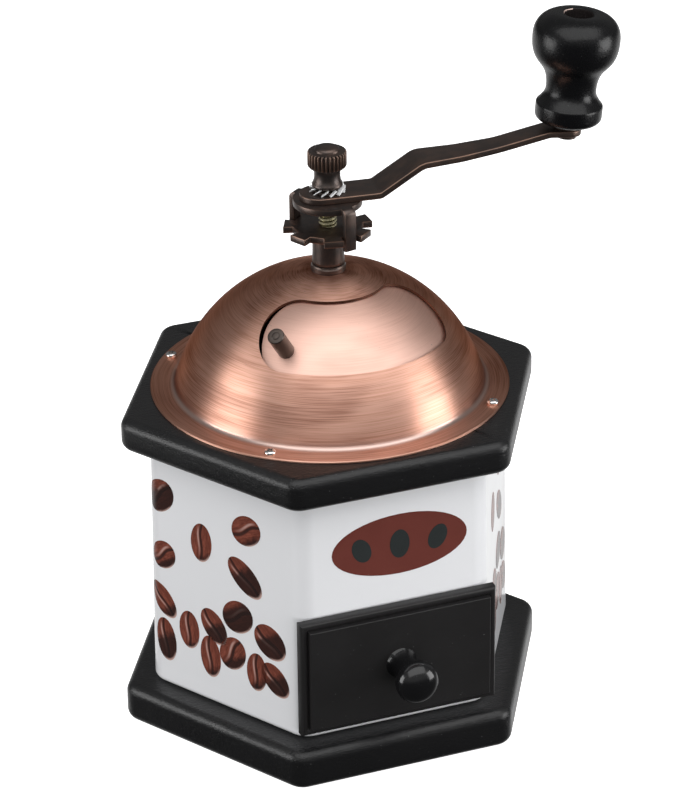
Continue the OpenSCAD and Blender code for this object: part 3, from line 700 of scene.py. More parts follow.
# The thread's roots are darkened as painted shade.
THREAD_STEEL = BareMetal(
    "thread_steel", colour=(0.88, 0.82, 0.54), roughness=0.26, stain_and_shade=(0.09, 0.075, 0.03), metallic=0.7,
    root_r=2.55, crest_r=2.9,
)
SCREW_CHROME = BareMetal("screw_chrome", colour=(0.80, 0.79, 0.78), roughness=0.14)
WASHER_ZINC = BareMetal(
    "washer_zinc", colour=(0.90, 0.91, 0.92), roughness=0.24, stain_and_shade=(0.7, 0.7, 0.7), metallic=0.3,
)
HIDDEN_STEEL = BareMetal("hidden_steel", colour=(0.50, 0.50, 0.51), roughness=0.38)
CAST_IRON = BareMetal("cast_iron", colour=(0.17, 0.17, 0.175), roughness=0.6, relief=0.06)
BOX_WOOD = RawWood("box_wood")


# Meshes


class Shape:
    """A mesh in the making, in millimetres, shaped with bmesh operators."""

    def __init__(self) -> None:
        """Starts an empty mesh."""
        self.bm = bmesh.new()

    @classmethod
    def turned(cls, section: Sequence[Point], steps: int = 96, closed: bool = False) -> Shape:
        """Turns a half section about Z.

        Args:
            section: Radius and height of each point.
            steps: Facets round the axis.
            closed: Whether the section's ends join.

        Returns:
            The turned shape.
        """
        shape = cls()
        verts = [shape.bm.verts.new((r, 0, z)) for r, z in section]
        pairs = list(zip(verts, verts[1:])) + ([(verts[-1], verts[0])] if closed else [])
        edges = [shape.bm.edges.new(pair) for pair in pairs]
        bmesh.ops.spin(
            shape.bm, geom=verts + edges, cent=(0, 0, 0), axis=(0, 0, 1),
            angle=FULL_TURN, steps=steps, use_merge=True,
        )
        bmesh.ops.remove_doubles(shape.bm, verts=shape.bm.verts, dist=1e-4)
        return shape.outwards()

    @classmethod
    def tube(cls, bore: float, radius: float, low: float, high: float, steps: int = 96) -> Shape:
        """Stands a rod, or a ring where it has a bore, up between two heights."""
        return cls.turned([(bore, low), (radius, low), (radius, high), (bore, high)], steps, closed=bore > 0)

    @classmethod
    def lofted(
        cls, rings: Sequence[Sequence[Vector]], closed: bool = False, worn: Sequence[float] = (),
    ) -> Shape:
        """Joins rings of equal numbers of points.

        Args:
            rings: The rings in order.
            closed: Whether the last ring joins the first. The ends are capped otherwise.
            worn: How worn each point of the rings is, from 0 to 1.

        Returns:
            The lofted shape.
        """
        shape = cls()
        loops = []
        for ring in rings:
            verts = [shape.bm.verts.new(point) for point in ring]
            loops.append([shape.bm.edges.new(pair) for pair in zip(verts, verts[1:] + verts[:1])])
        for lower, upper in list(zip(loops, loops[1:])) + ([(loops[-1], loops[0])] if closed else []):
            bmesh.ops.bridge_loops(shape.bm, edges=lower + upper)
        shape.filled().outwards()
        if worn:
            wear = shape.bm.verts.layers.float.new(WEAR)
            for vert, mark in zip(shape.bm.verts, worn):
                vert[wear] = mark
        return shape

    @classmethod
    def plate(cls, outline: Sequence[Point], low: float, high: float) -> Shape:
        """Stands a flat outline up between two heights."""
        shape = cls()
        face = shape.bm.faces.new([shape.bm.verts.new((x, y, low)) for x, y in outline])
        grown = bmesh.ops.extrude_face_region(shape.bm, geom=[face])["geom"]
        top = [item for item in grown if isinstance(item, bmesh.types.BMVert)]
        bmesh.ops.translate(shape.bm, vec=(0, 0, high - low), verts=top)
        return shape.filled().outwards()

    @classmethod
    def block(cls, low: Vector, high: Vector) -> Shape:
        """A box between two corners."""
        shape = cls()
        bmesh.ops.create_cube(shape.bm, size=1.0)
        shape.moved(Matrix.Translation((low + high) / 2) @ Matrix.Diagonal((*(high - low), 1.0)))
        return shape

    @classmethod
    def thread(cls, core: float, crest: float, pitch: float, low: float, turns: int) -> Shape:
        """A screw thread about Z.

        Args:
            core: Radius of the roots.
            crest: Radius of the crests.
            pitch: Rise of each turn.
            low: Height where it starts.
            turns: Number of turns.

        Returns:
            The threaded surface with closed ends.
        """
        steps = 40
        shape = cls()
        section = [(core, low), (crest, low + 0.42 * pitch), (crest, low + 0.58 * pitch), (core, low + pitch)]
        verts = [shape.bm.verts.new((r, 0, z)) for r, z in section]
        edges = [shape.bm.edges.new(pair) for pair in zip(verts, verts[1:])]
        bmesh.ops.spin(
            shape.bm, geom=verts + edges, cent=(0, 0, 0), axis=(0, 0, 1), dvec=(0, 0, pitch / steps),
            angle=FULL_TURN * turns, steps=steps * turns,
        )
        bmesh.ops.remove_doubles(shape.bm, verts=shape.bm.verts, dist=1e-3)
        return shape.filled().outwards()

    def filled(self) -> Shape:
        """Closes every open loop."""
        gaps = [edge for edge in self.bm.edges if edge.is_boundary or edge.is_wire]
        if gaps:
            bmesh.ops.holes_fill(self.bm, edges=gaps, sides=0)
        return self

    def outwards(self) -> Shape:
        """Turns every face outwards."""
        bmesh.ops.recalc_face_normals(self.bm, faces=self.bm.faces)
        return self

    def moved(self, matrix: Matrix) -> Shape:
        """Moves the whole shape."""
        bmesh.ops.transform(self.bm, matrix=matrix, verts=self.bm.verts)
        return self

    def lifted(self, x: float, y: float, z: float) -> Shape:
        """Shifts the whole shape."""
        return self.moved(Matrix.Translation((x, y, z)))

    def rotated(self, degrees: float, axis: str) -> Shape:
        """Turns the whole shape about one of the frame's axes."""
        return self.moved(Matrix.Rotation(math.radians(degrees), 4, axis))

    def rolled(self, width: float, segments: int = 2, sharper: float = 35.0) -> Shape:
        """Rounds sharp edges, and marks the rounding as worn.

        Args:
            width: Width of the rounding.
            segments: Facets across the rounding.
            sharper: Least angle of an edge that is rounded, in degrees.

        Returns:
            This shape.
        """
        wear = self.bm.verts.layers.float.get(WEAR) or self.bm.verts.layers.float.new(WEAR)
        least = math.radians(sharper)
        edges = [e for e in self.bm.edges if len(e.link_faces) == 2 and e.calc_face_angle(0.0) > least]
        made = bmesh.ops.bevel(
            self.bm, geom=edges, offset=width, offset_type="OFFSET", segments=segments,
            profile=0.5, affect="EDGES", material=-1, clamp_overlap=True,
        )
        strip = set(made["faces"])
        for vert in made["verts"]:
            if vert.is_valid and all(face in strip for face in vert.link_faces):
                vert[wear] = 1.0
        return self

    def joined(self, *others: Shape) -> Shape:
        """Takes other meshes into this one, untouched."""
        for other in others:
            mesh = bpy.data.meshes.new("joining")
            other.bm.to_mesh(mesh)
            self.bm.from_mesh(mesh)
            bpy.data.meshes.remove(mesh)
        return self

    def combined(self, other: Shape, cut: Cut) -> Shape:
        """Cuts, joins or intersects with another shape.

        Args:
            other: The second shape.
            cut: What is done with it.

        Returns:
            This shape.
        """
        work, tool = self.placed("work"), other.placed("tool")
        modifier = work.modifiers.new("combine", "BOOLEAN")
        modifier.operation = cut.value
        modifier.solver = "EXACT"
        modifier.object = tool
        evaluated = work.evaluated_get(bpy.context.evaluated_depsgraph_get())
        self.bm.clear()
        self.bm.from_mesh(evaluated.to_mesh())
        evaluated.to_mesh_clear()
        for thing in (work, tool):
            mesh = thing.data
            bpy.data.objects.remove(thing)
            bpy.data.meshes.remove(mesh)
        return self

    def placed(self, name: str) -> bpy.types.Object:
        """Returns a new object of the scene that carries this mesh."""
        mesh = bpy.data.meshes.new(name)
        self.bm.to_mesh(mesh)
        thing = bpy.data.objects.new(name, mesh)
        bpy.context.scene.collection.objects.link(thing)
        return thing

    def marked(self, index: int, test: Callable[[bmesh.types.BMFace], bool]) -> Shape:
        """Gives the faces that pass a test another material."""
        for face in self.bm.faces:
            if test(face):
                face.material_index = index
        return self

    def finish(
        self, name: str, body: Body, slot: Slot, finishes: Sequence[Finish],
        replaces: Sequence[str] = (), sharp: float = 32.0,
    ) -> bpy.types.Object:
        """Makes the piece.

        Args:
            name: The piece's name.
            body: The body that it rides on.
            slot: The record's material slot; not used.
            finishes: Its finishes, by material number.
            replaces: CAD nodes that it stands for.
            sharp: Edges sharper than this stay sharp, in degrees.

        Returns:
            The piece, at the origin.
        """
        bmesh.ops.scale(self.bm, vec=(MM, MM, MM), verts=self.bm.verts)
        for face in self.bm.faces:
            face.smooth = True
        piece = self.placed(name)
        self.bm.free()
        piece.data.set_sharp_from_angle(angle=math.radians(sharp))
        for finish in finishes:
            piece.data.materials.append(finish.material())
        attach(piece, body.value)
        if replaces:
            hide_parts(*replaces)
        LOG.info("%s: %d faces on %s", name, len(piece.data.polygons), body.value)
        return piece


# Sub-assemblies


@dataclass
class Board:
    """A hexagonal wooden board with rounded corners and rolled edges."""

    node: str
    corner_r: float = 7.0
    edge_r: float = 3.4
    hole_r: float = 0.0
    dish_r: float = 0.0
    dish_h: float = 7.6
    recesses: tuple[Point, ...] = ()
    recess_r: float = 4.6
    recess_h: float = 4.0

    def build(self) -> None:
        """Builds the board."""
        box = Span.of(self.node)
        apothem = box.size.y / 2
        low, high = box.low.z, box.high.z
        rim = [(inset, low + up) for inset, up in rolled_edge(self.edge_r, 9)]
        rim += [(inset, low + high - z) for inset, z in reversed(rim)]
        rings = [hexagon_ring(apothem - inset, self.corner_r - inset, z) for inset, z in rim]
        if self.hole_r:
            holes = [(self.hole_r, low), (self.hole_r, high - self.dish_h), (self.dish_r, high)]
            inner = [drawn_to(rings[0], r, z) for r, z in holes]
            shape = Shape.lofted(rings + inner[::-1], closed=True)
        else:
            shape = Shape.lofted(rings)
        for x, y in self.recesses:
            drill = Shape.tube(0, self.recess_r, -1, self.recess_h)
            shape.combined(drill.lifted(x, y, low), Cut.AWAY)
        shape.finish(self.node + "_wood", Body.FRAME, Slot.WOOD, [BOARD_BLACK], [self.node], sharp=38)


@dataclass(frozen=True)
class Bean:
    """One printed bean, placed on a face of the body.

    Sizes are in millimetres: the distance to the right of the face's middle, the height,
    the two half axes, and the lean of the long axis from upright towards the right, in
    degrees. The shade, from 0 to 1, is how much of it is printed dark.
    """

    aside: float
    height: float
    major: float
    minor: float
    lean: float
    shade: float = 0.0


BEANS = (
    Bean(-28.2, 86.6, 6.9, 5.6, 47, 0.75),
    Bean(-10.1, 74.6, 7.2, 4.5, 3, 0.10),
    Bean(9.5, 85.4, 6.4, 5.4, 62, 0.20),
    Bean(-27.1, 64.5, 5.6, 5.0, 52, 0.30),
    Bean(8.7, 67.6, 8.6, 4.8, -50, 0.72),
    Bean(-27.6, 47.1, 7.4, 4.2, -42, 0.25),
    Bean(-26.7, 32.0, 8.1, 4.4, -8, 0.62),
    Bean(-16.2, 39.3, 7.1, 4.4, -1, 0.10),
    Bean(-5.2, 44.3, 7.0, 4.8, -38, 0.55),
    Bean(5.3, 51.6, 6.8, 5.9, 60, 0.85),
    Bean(-6.9, 32.2, 7.8, 4.4, -4, 0.15),
    Bean(2.9, 36.8, 6.6, 5.4, 30, 0.35),
    Bean(19.2, 46.7, 7.2, 5.8, -55, 0.72),
    Bean(13.3, 33.3, 7.2, 4.3, 2, 0.20),
    Bean(21.4, 33.0, 6.9, 4.7, -45, 0.60),
)
MOTIF = (
    Bean(-11.5, 81.3, 4.6, 3.2, -24),
    Bean(2.0, 81.3, 5.2, 3.5, 0),
    Bean(15.5, 81.3, 4.6, 3.2, 24),
)


@dataclass
class CeramicBody:
    """The glazed body with its printed decoration."""

    wall: float = 4.5
    corner_r: float = 8.0
    corner_steps: int = 14
    foot_r: float = 2.4
    window_w: float = 54.8
    window_h: float = 33.2
    sill_h: float = 4.5
    oval_aside: float = 2.0
    oval_height: float = 81.3
    oval_major: float = 24.0
    oval_minor: float = 11.0
    ink: float = 0.05
    gap: float = 0.02
    segments: int = 44
    flare: float = 1.1
    box: Span = field(init=False)

    def apothem(self, z: float) -> float:
        """Returns the distance of the flat sides from the axis at a height."""
        share = (z - self.box.low.z) / self.box.size.z
        return self.box.size.y / 2 - self.flare * min(max(share, 0.0), 1.0)

    def on_face(self, facing: float, aside: float, z: float, lift: float) -> Vector:
        """Lays a point on the glaze, round the corners where it runs past a face.

        Args:
            facing: Direction that the face looks in, in degrees.
            aside: Distance to the right of the face's middle.
            z: Height.
            lift: Distance above the glaze.

        Returns:
            The point.
        """
        apothem = self.apothem(z)
        half = (apothem - self.corner_r) * math.tan(math.radians(30))
        turned = self.corner_r * math.radians(60)
        side = math.copysign(1.0, aside)
        if abs(aside) > half + turned:
            return self.on_face(facing + 60 * side, aside - side * (2 * half + turned), z, lift)
        out = polar(1, facing)
        right = polar(1, facing + 90)
        if abs(aside) <= half:
            return out * (apothem + lift) + right * aside + Vector((0, 0, z))
        centre = out * (apothem - self.corner_r) + right * (side * half)
        turn = facing + side * math.degrees((abs(aside) - half) / self.corner_r)
        return centre + polar(self.corner_r + lift, turn, z)

    def decal(self, facing: float, bean: Bean, lift: float, rings: int = 9) -> Shape:
        """Lays one printed bean on a face.

        Args:
            facing: Direction that the face looks in, in degrees.
            bean: Its place, size and shade.
            lift: Distance of its lower side above the glaze.
            rings: Rings of faces from its middle to its edge.

        Returns:
            A thin closed shape with a UV map and its shading numbers.
        """
        shape = Shape()
        bmesh.ops.create_circle(shape.bm, cap_ends=True, radius=1.0, segments=self.segments)
        for _ in range(rings):
            middle = max(shape.bm.faces, key=lambda face: len(face.verts))
            bmesh.ops.inset_individual(shape.bm, faces=[middle], thickness=0.94 / rings)
        lit = shape.bm.verts.layers.float.new(LIT)
        shade = shape.bm.verts.layers.float.new(SHADE)
        uv = shape.bm.loops.layers.uv.new("print")
        for face in shape.bm.faces:
            for loop in face.loops:
                loop[uv].uv = (loop.vert.co.x, loop.vert.co.y)
        lean = math.radians(bean.lean)
        for vert in shape.bm.verts:
            across, along = vert.co.x * bean.minor, vert.co.y * bean.major
            right = across * math.cos(lean) + along * math.sin(lean)
            up = along * math.cos(lean) - across * math.sin(lean)
            vert[lit] = (0.5 * right - 0.85 * up) / bean.major
            vert[shade] = bean.shade
            vert.co = self.on_face(facing, bean.aside + right, bean.height + up, lift)
        shape.outwards()
        bmesh.ops.solidify(shape.bm, geom=shape.bm.faces, thickness=-self.ink)
        return shape.outwards()

    def build(self) -> None:
        """Builds the glazed shell and what is printed on it."""
        self.box = Span.of("ceramic_body")
        low, high = self.box.low.z, self.box.high.z
        outside = [(inset, 0.6 * inset, low + up) for inset, up in rolled_edge(self.foot_r, 6)]
        outside += [(0.0, 0.0, high - 1.2), (0.0, 0.0, high - 0.4), (0.4, 0.0, high)]
        inside = [(self.wall, self.wall / 2, z) for z in (high, low)]
        rings = [
            hexagon_ring(self.apothem(z) - inset, self.corner_r - tighter, z, self.corner_steps)
            for inset, tighter, z in outside + inside
        ]
        shape = Shape.lofted(rings, closed=True)
        face = self.box.low.y
        sill = low + self.sill_h
        window = Shape.block(
            Vector((-self.window_w / 2, face - 5, sill)),
            Vector((self.window_w / 2, face + 20, sill + self.window_h)),
        )
        shape.combined(window, Cut.AWAY)
        shape.finish("body_glaze", Body.FRAME, Slot.CERAMIC, [WHITE_GLAZE], ["ceramic_body"], sharp=38)
        self.build_prints()

    def build_prints(self) -> None:
        """Builds the beans on five faces and the oval on the front."""
        bare_right, bare_reach, front = -30, -20, -90
        beans = [
            self.decal(facing, bean, self.gap)
            for facing in (bare_right, 30, 90, 150, 210)
            for bean in BEANS
            if facing != bare_right or bean.aside > bare_reach
        ]
        oval = Bean(self.oval_aside, self.oval_height, self.oval_major, self.oval_minor, 90)
        motif = [self.decal(front, bean, self.gap + self.ink + 0.01) for bean in MOTIF]
        prints = (
            ("body_bean_print", beans, BEAN_PRINT),
            ("body_oval_print", [self.decal(front, oval, self.gap)], OVAL_PRINT),
            ("body_motif_print", motif, MOTIF_PRINT),
        )
        for name, decals, ink in prints:
            Shape().joined(*decals).finish(name, Body.FRAME, Slot.CERAMIC, [ink])


@dataclass
class Dome:
    """The sheet dome with its flange, screws and bearing ring."""

    radius: float = 54.0
    drop: float = 12.1
    sheet: float = 0.8
    foot_r: float = 1.8
    hole_r: float = 4.25
    inner: float = 19.0
    outer: float = 41.5
    half_angle: float = 44.0
    middle: float = -90.0
    clear: float = 9.0
    screw_r: float = 1.95
    screw_h: float = 1.5
    collar_bore: float = 3.05
    stem_r: float = 4.2
    ring_h: float = 2.4
    box: Span = field(init=False)

    @property
    def centre_z(self) -> float:
        """Height of the sphere's centre."""
        return self.box.low.z - self.drop

    def section(self) -> list[Point]:
        """Returns the closed half section of the sheet."""
        z = self.centre_z
        deck = self.box.low.z
        top = deck + self.sheet
        flange = self.box.high.x
        foot_z = top + self.foot_r
        foot = math.degrees(math.asin((foot_z - z) / self.radius))
        hole = math.degrees(math.acos(self.hole_r / self.radius))
        inner_r = self.radius - self.sheet
        in_hole = math.degrees(math.acos(self.hole_r / inner_r))
        in_foot = math.degrees(math.asin((deck - z) / inner_r))
        foot_x = self.radius * math.cos(math.radians(foot))
        outside = arc((0, z), self.radius, hole, foot + 0.3, 64)
        fillet = arc((foot_x + self.foot_r, foot_z), self.foot_r, 180, 270, 8)
        rim = [(flange - 0.25, top), (flange, top - 0.25), (flange, deck + 0.15), (flange - 0.15, deck)]
        inside = arc((0, z), inner_r, in_foot, in_hole, 48)
        return outside + fillet + rim + inside

    def build(self) -> None:
        """Builds the dome, its screws and the bearing ring."""
        self.box = Span.of("dome_hopper")
        shape = Shape.turned(self.section(), steps=240, closed=True)
        outline = bean_outline(self.inner, self.outer, self.middle, self.half_angle)
        deck = self.box.low.z
        shape.combined(Shape.plate(outline, deck + self.radius / 4, deck + self.radius), Cut.AWAY)
        centre = Vector((0, 0, self.centre_z))
        middle_r = self.radius - self.sheet / 2

        def is_cut(face: bmesh.types.BMFace) -> bool:
            """Tells whether a face is part of the opening's cut edge."""
            middle = face.calc_center_median()
            off = abs((middle - centre).length - middle_r)
            return off < 0.35 * self.sheet and middle.z > deck + self.clear and middle.xy.length > self.clear

        # The opening's cut edge takes painted shade, a near-black copper.
        shape.marked(1, is_cut)
        finishes = [DOME_COPPER, SHADED_CUT_EDGE]
        shape.finish("dome_sheet", Body.FRAME, Slot.COPPER, finishes, ["dome_hopper"], sharp=25)
        for number in range(1, 5):
            self.build_screw(f"dome_screw_{number}")
        self.build_collar()

    def build_screw(self, node: str) -> None:
        """Builds one pan head screw with a cross recess."""
        box = Span.of(node)
        seat = box.high.z - self.screw_h
        r, h = self.screw_r, self.screw_h
        dome = curve((r, 0.35 * h), (r, 0.8 * h), (0.62 * r, h), (0, h), 8)
        shape = Shape.turned([(0, -0.5), (0.6 * r, -0.5), (0.6 * r, 0.0), (r - 0.1, 0), (r, 0.1), *dome], 40)
        for turn in (20, 110):
            slot = Shape.block(Vector((-0.62 * r, -0.17 * r, 0.45 * h)), Vector((0.62 * r, 0.17 * r, 2 * h)))
            shape.combined(slot.rotated(turn, "Z"), Cut.AWAY)
        shape.lifted(box.middle.x, box.middle.y, seat)
        shape.finish(node + "_head", Body.FRAME, Slot.CHROME, [SCREW_CHROME], [node], sharp=30)

    def build_collar(self) -> None:
        """Builds the bearing ring on top of the dome."""
        box = Span.of("dome_collar")
        r, bore, stem, top = box.size.x / 2, self.collar_bore, self.stem_r, box.high.z
        low = top - self.ring_h
        section = [
            (bore, box.low.z), (stem, box.low.z), (stem, low - 0.1), (r - 0.25, low - 0.1), (r, low + 0.2),
            (r, low + 1.5), (r - 0.3, low + 1.9), (r - 0.35, top - 0.2), (r - 0.6, top), (bore, top),
        ]
        shape = Shape.turned(section, 96, closed=True)
        shape.finish("dome_collar_ring", Body.FRAME, Slot.BRONZE, [MECHANISM_BRONZE], ["dome_collar"])


@dataclass
class Shutter:
    """The turning shutter under the dome, with its pin."""

    outer_r: float = 52.85
    sheet: float = 1.0
    hub_r: float = 18.0
    plan_inner: float = 17.0
    plan_outer: float = 43.5
    half_angle: float = Dome.half_angle
    middle: float = -84.0
    hole_r: float = Dome.hole_r
    pin_angle: float = -134.6
    pin_at: float = 35.35
    pin_r: float = 2.8
    pin_len: float = 12.5

    @property
    def centre_z(self) -> float:
        """Height of the sphere's centre, which is the dome's."""
        return Span.of("dome_hopper").low.z - Dome.drop

    def shell(self, near: float, far: float, steps: int) -> Shape:
        """Returns a ring of the shutter's sphere between two radii."""
        section = []
        for sphere, ends in ((self.outer_r, (near, far)), (self.outer_r - self.sheet, (far, near))):
            start, end = (math.degrees(math.acos(r / sphere)) for r in ends)
            section += arc((0, self.centre_z), sphere, start, end, steps)
        return Shape.turned(section, 200, closed=True)

    def build(self) -> None:
        """Builds the shutter's sheet and pin."""
        outline = bean_outline(self.plan_inner, self.plan_outer, self.middle, self.half_angle)
        sheet = self.shell(self.hub_r, self.plan_outer + 1.5, 30)
        sheet.combined(Shape.plate(outline, self.centre_z, self.centre_z + 60), Cut.KEEP)
        sheet.joined(self.shell(self.hole_r, self.hub_r, 14))
        sheet.finish("shutter_sheet", Body.SHUTTER, Slot.COPPER, [SHUTTER_COPPER], ["shutter"], sharp=25)
        r, seat, top = self.pin_r, self.outer_r, self.outer_r + self.pin_len
        section = [
            (0, seat - 2.4), (2.3, seat - 2.4), (2.3, seat - 1.1), (1.5, seat - 1.1), (1.5, seat - 0.05),
            (r - 0.1, seat - 0.05), (r, seat + 0.1), (r, top - 0.7), (r - 0.2, top - 0.35),
            (r - 0.75, top - 0.2), (1.35, top - 0.25), (1.2, top - 0.1), (0.8, top - 0.02), (0, top),
        ]
        pin = Shape.turned(section, 48)
        tilt = math.degrees(math.asin(self.pin_at / self.outer_r))
        pin.rotated(tilt, "Y").rotated(self.pin_angle, "Z").lifted(0, 0, self.centre_z)
        pin.finish("shutter_pin_post", Body.SHUTTER, Slot.BRONZE, [PIN_BRONZE], ["shutter_pin"], sharp=28)


@dataclass
class Crank:
    """Everything that turns with the spindle."""

    notch_angle: float = -77.5
    lobes: int = 7
    notch_r: float = 11.5
    notch_floor_w: float = 4.9
    notch_mouth_w: float = 6.6
    wheel_r: float = 15.0
    wheel_t: float = 2.4
    boss_r: float = 5.4
    plate_r: float = 11.5
    plate_t: float = 2.1
    tab_w: float = 4.2
    tab_t: float = 1.8
    tab_reach: float = 2.1
    tab_root: float = 5.0
    bend_r: float = 1.9
    inner_bend_r: float = 0.4
    spindle_r: float = 3.0
    thread_pitch: float = 1.45
    thread_depth: float = 0.55
    arm_t: float = 2.2
    hub_r: float = 6.7
    hub_back: float = 2.7
    end_r: float = 4.7
    length: float = 82.2
    turn: float = -7.0
    pad: float = 7.0
    taper: Point = (31.4, 58.0)
    rise: tuple[Point, ...] = ((17.0, 0.0), (31.4, 8.9), (44.7, 9.45), (58.0, 10.83), (75.2, 14.11))
    pad_drop: float = 1.22
    bends: tuple[float, ...] = (4.0, 5.0, 40.0, 40.0, 5.0)
    edge_roll: float = 0.45
    edge_wear: tuple[float, ...] = (0.1, 0.35, 0.7, 0.35, 0.1)
    teeth: int = 12
    tooth_root_r: float = 4.75
    tooth_w: float = 2.8
    tooth_t: float = 0.34
    tooth_twist: float = 38.0
    ridges: int = 30
    ridge_steps: int = 8
    ridge_depth: float = 0.66
    crown_h: float = 1.8
    knurl_h: float = 5.8

    def build(self) -> None:
        """Builds the wheel, the lock plate, the spindle, the arm, the washer and the nut."""
        self.build_wheel()
        self.build_lock_plate()
        self.build_spindle()
        self.build_arm()
        self.build_washer()
        self.build_nut()

    def build_wheel(self) -> None:
        """Builds the notched wheel on its boss."""
        box = Span.of("star_wheel")
        floor, mouth = self.notch_floor_w / 2, self.notch_mouth_w / 2
        reach = math.sqrt(self.wheel_r**2 - mouth**2)
        outline = []
        for k in range(self.lobes):
            turn = Matrix.Rotation(math.radians(self.notch_angle + 360 / self.lobes * k), 3, "Z")
            for x, y in ((reach, -mouth), (self.notch_r, -floor), (self.notch_r, floor), (reach, mouth)):
                point = turn @ Vector((x, y, 0))
                outline.append((point.x, point.y))
        wheel = Shape.plate(outline, box.high.z - self.wheel_t, box.high.z).rolled(0.32, 2)
        low, top = box.low.z, box.high.z - self.wheel_t
        r = self.boss_r
        boss = Shape.turned(
            [(self.spindle_r, low), (r - 0.1, low), (r, low + 0.2), (r, low + 1.0), (r - 0.12, low + 4),
             (r - 0.2, top - 0.5), (r + 0.15, top - 0.1), (r + 0.15, top + 0.4), (self.spindle_r, top + 0.4)],
            96, closed=True,
        )
        wheel.joined(boss)
        wheel.finish("crank_wheel", Body.CRANK, Slot.BRONZE, [MECHANISM_BRONZE], ["star_wheel"])

    def build_lock_plate(self) -> None:
        """Builds the round plate and its two bent tabs."""
        box = Span.of("lock_plate")
        top, low = box.high.z, box.low.z
        under = top - self.plate_t
        reach = self.plate_r + self.tab_reach
        plate = Shape.tube(self.spindle_r, self.plate_r, under, top, 120)
        bend, inner = self.bend_r, self.inner_bend_r
        inside_x = reach - self.tab_t
        root = self.tab_root
        side = [
            (root, under), *arc((inside_x - inner, under - inner), inner, 90, 0, 4),
            (inside_x, low), (reach, low), *arc((reach - bend, top - bend), bend, 0, 90, 6), (root, top),
        ]
        for turn in (self.notch_angle, self.notch_angle + 360 / self.lobes * math.ceil(self.lobes / 2)):
            tab = Shape.plate(side, -self.tab_w / 2, self.tab_w / 2).rotated(90, "X").rotated(turn, "Z")
            plate.combined(tab, Cut.JOIN)
        bmesh.ops.remove_doubles(plate.bm, verts=plate.bm.verts, dist=0.01)
        bmesh.ops.dissolve_limit(
            plate.bm, angle_limit=math.radians(1), verts=plate.bm.verts, edges=plate.bm.edges,
            use_dissolve_boundaries=False,
        )
        plate.rolled(0.26, 2, sharper=42)
        plate.finish("crank_lock_plate", Body.CRANK, Slot.BRONZE, [MECHANISM_BRONZE], ["lock_plate"])

    def build_spindle(self) -> None:
        """Builds the rod, threaded where it shows."""
        box = Span.of("spindle")
        low = Span.of("star_wheel").high.z - 2
        r, pitch = self.spindle_r, self.thread_pitch
        turns = int((Span.of("lock_plate").high.z - low) / pitch)
        thread = Shape.thread(r - self.thread_depth, r, pitch, low, turns)
        end, bevel = box.low.z, 0.5
        rod = Shape.turned([(0, end), (r - bevel, end), (r, end + bevel), (r, low), (0, low)], 64)
        core = r - self.thread_depth - 0.15
        upper = Shape.tube(0, core, low, box.high.z, 64)
        thread.joined(rod, upper)
        thread.finish("crank_spindle", Body.CRANK, Slot.SPINDLE, [THREAD_STEEL], ["spindle"], sharp=20)

    def arm_line(self) -> list[Point]:
        """Returns the arm's line in its own upright plane, with its bends rounded."""
        pad_slope = self.pad_drop / (2 * self.pad)
        end_x, last = self.length + self.end_r, self.rise[-1]
        end_z = last[1] - pad_slope * (end_x - last[0])
        corners = [(-self.hub_r - self.hub_back, 0.0), *self.rise, (end_x, end_z)]
        line = [Vector(corners[0])]
        for k, radius in enumerate(self.bends, start=1):
            before, at, after = (Vector(corners[k + i]) for i in (-1, 0, 1))
            back, on = (before - at).normalized(), (after - at).normalized()
            cut = radius * math.tan((math.pi - back.angle(on)) / 2)
            cut = min(cut, 0.45 * (before - at).length, 0.45 * (after - at).length)
            start, end = at + back * cut, at + on * cut
            handles = (point.lerp(at, 0.55) for point in (start, end))
            line += [Vector(p) for p in curve(start, *handles, end, 6)]
        line.append(Vector(corners[-1]))
        dense = []
        for first, second in zip(line, line[1:]):
            count = max(1, round((second - first).length / 2.0))
            dense += [first.lerp(second, i / count) for i in range(count)]
        return [tuple(p) for p in dense + [line[-1]]]

    def arm_half_width(self, x: float) -> float:
        """Returns half the arm's width at a distance along it."""
        if x < -self.hub_back:
            return math.sqrt(max(self.hub_r**2 - (x + self.hub_back) ** 2, 0.04))
        if x > self.length:
            return math.sqrt(max(self.end_r**2 - (x - self.length) ** 2, 0.04))
        share = min(max((x - self.taper[0]) / (self.taper[1] - self.taper[0]), 0.0), 1.0)
        return self.hub_r + (self.end_r - self.hub_r) * share

    def build_arm(self) -> None:
        """Builds the bent arm by lofting its rounded section along its line."""
        box = Span.of("crank_arm")
        line = self.arm_line()
        ends = [-self.hub_back - self.hub_r * math.cos(math.radians(t)) for t in range(3, 88, 7)]
        tail = [self.length + self.end_r * math.sin(math.radians(t)) for t in range(4, 90, 6)]
        last = self.rise[-1]
        stations = [(x, 0.0) for x in ends] + [p for p in line if -self.hub_back < p[0] < self.length]
        stations += [(x, last[1] - self.pad_drop / (2 * self.pad) * (x - last[0])) for x in tail]
        roll, half_t = self.edge_roll, self.arm_t / 2
        rings, marks = [], []
        for i, (x, z) in enumerate(stations):
            before, after = stations[max(i - 1, 0)], stations[min(i + 1, len(stations) - 1)]
            slope = math.atan2(after[1] - before[1], after[0] - before[0])
            width = self.arm_half_width(x)
            edge = min(roll, 0.45 * width)
            ring = []
            for sign_y, sign_z, start in ((1, 1, 0), (-1, 1, 90), (-1, -1, 180), (1, -1, 270)):
                for step, mark in enumerate(self.edge_wear):
                    at = math.radians(start + 22.5 * step)
                    y = sign_y * (width - edge) + edge * math.cos(at)
                    up = half_t + sign_z * (half_t - roll) + roll * math.sin(at)
                    ring.append(Vector((x - up * math.sin(slope), y, z + up * math.cos(slope))))
                    marks.append(mark)
            rings.append(ring)
        shape = Shape.lofted(rings, worn=marks)
        shape.rotated(self.turn, "Z").lifted(0, 0, box.low.z)
        shape.finish("crank_arm_strip", Body.CRANK, Slot.BRONZE, [MECHANISM_BRONZE], ["crank_arm"], sharp=24)

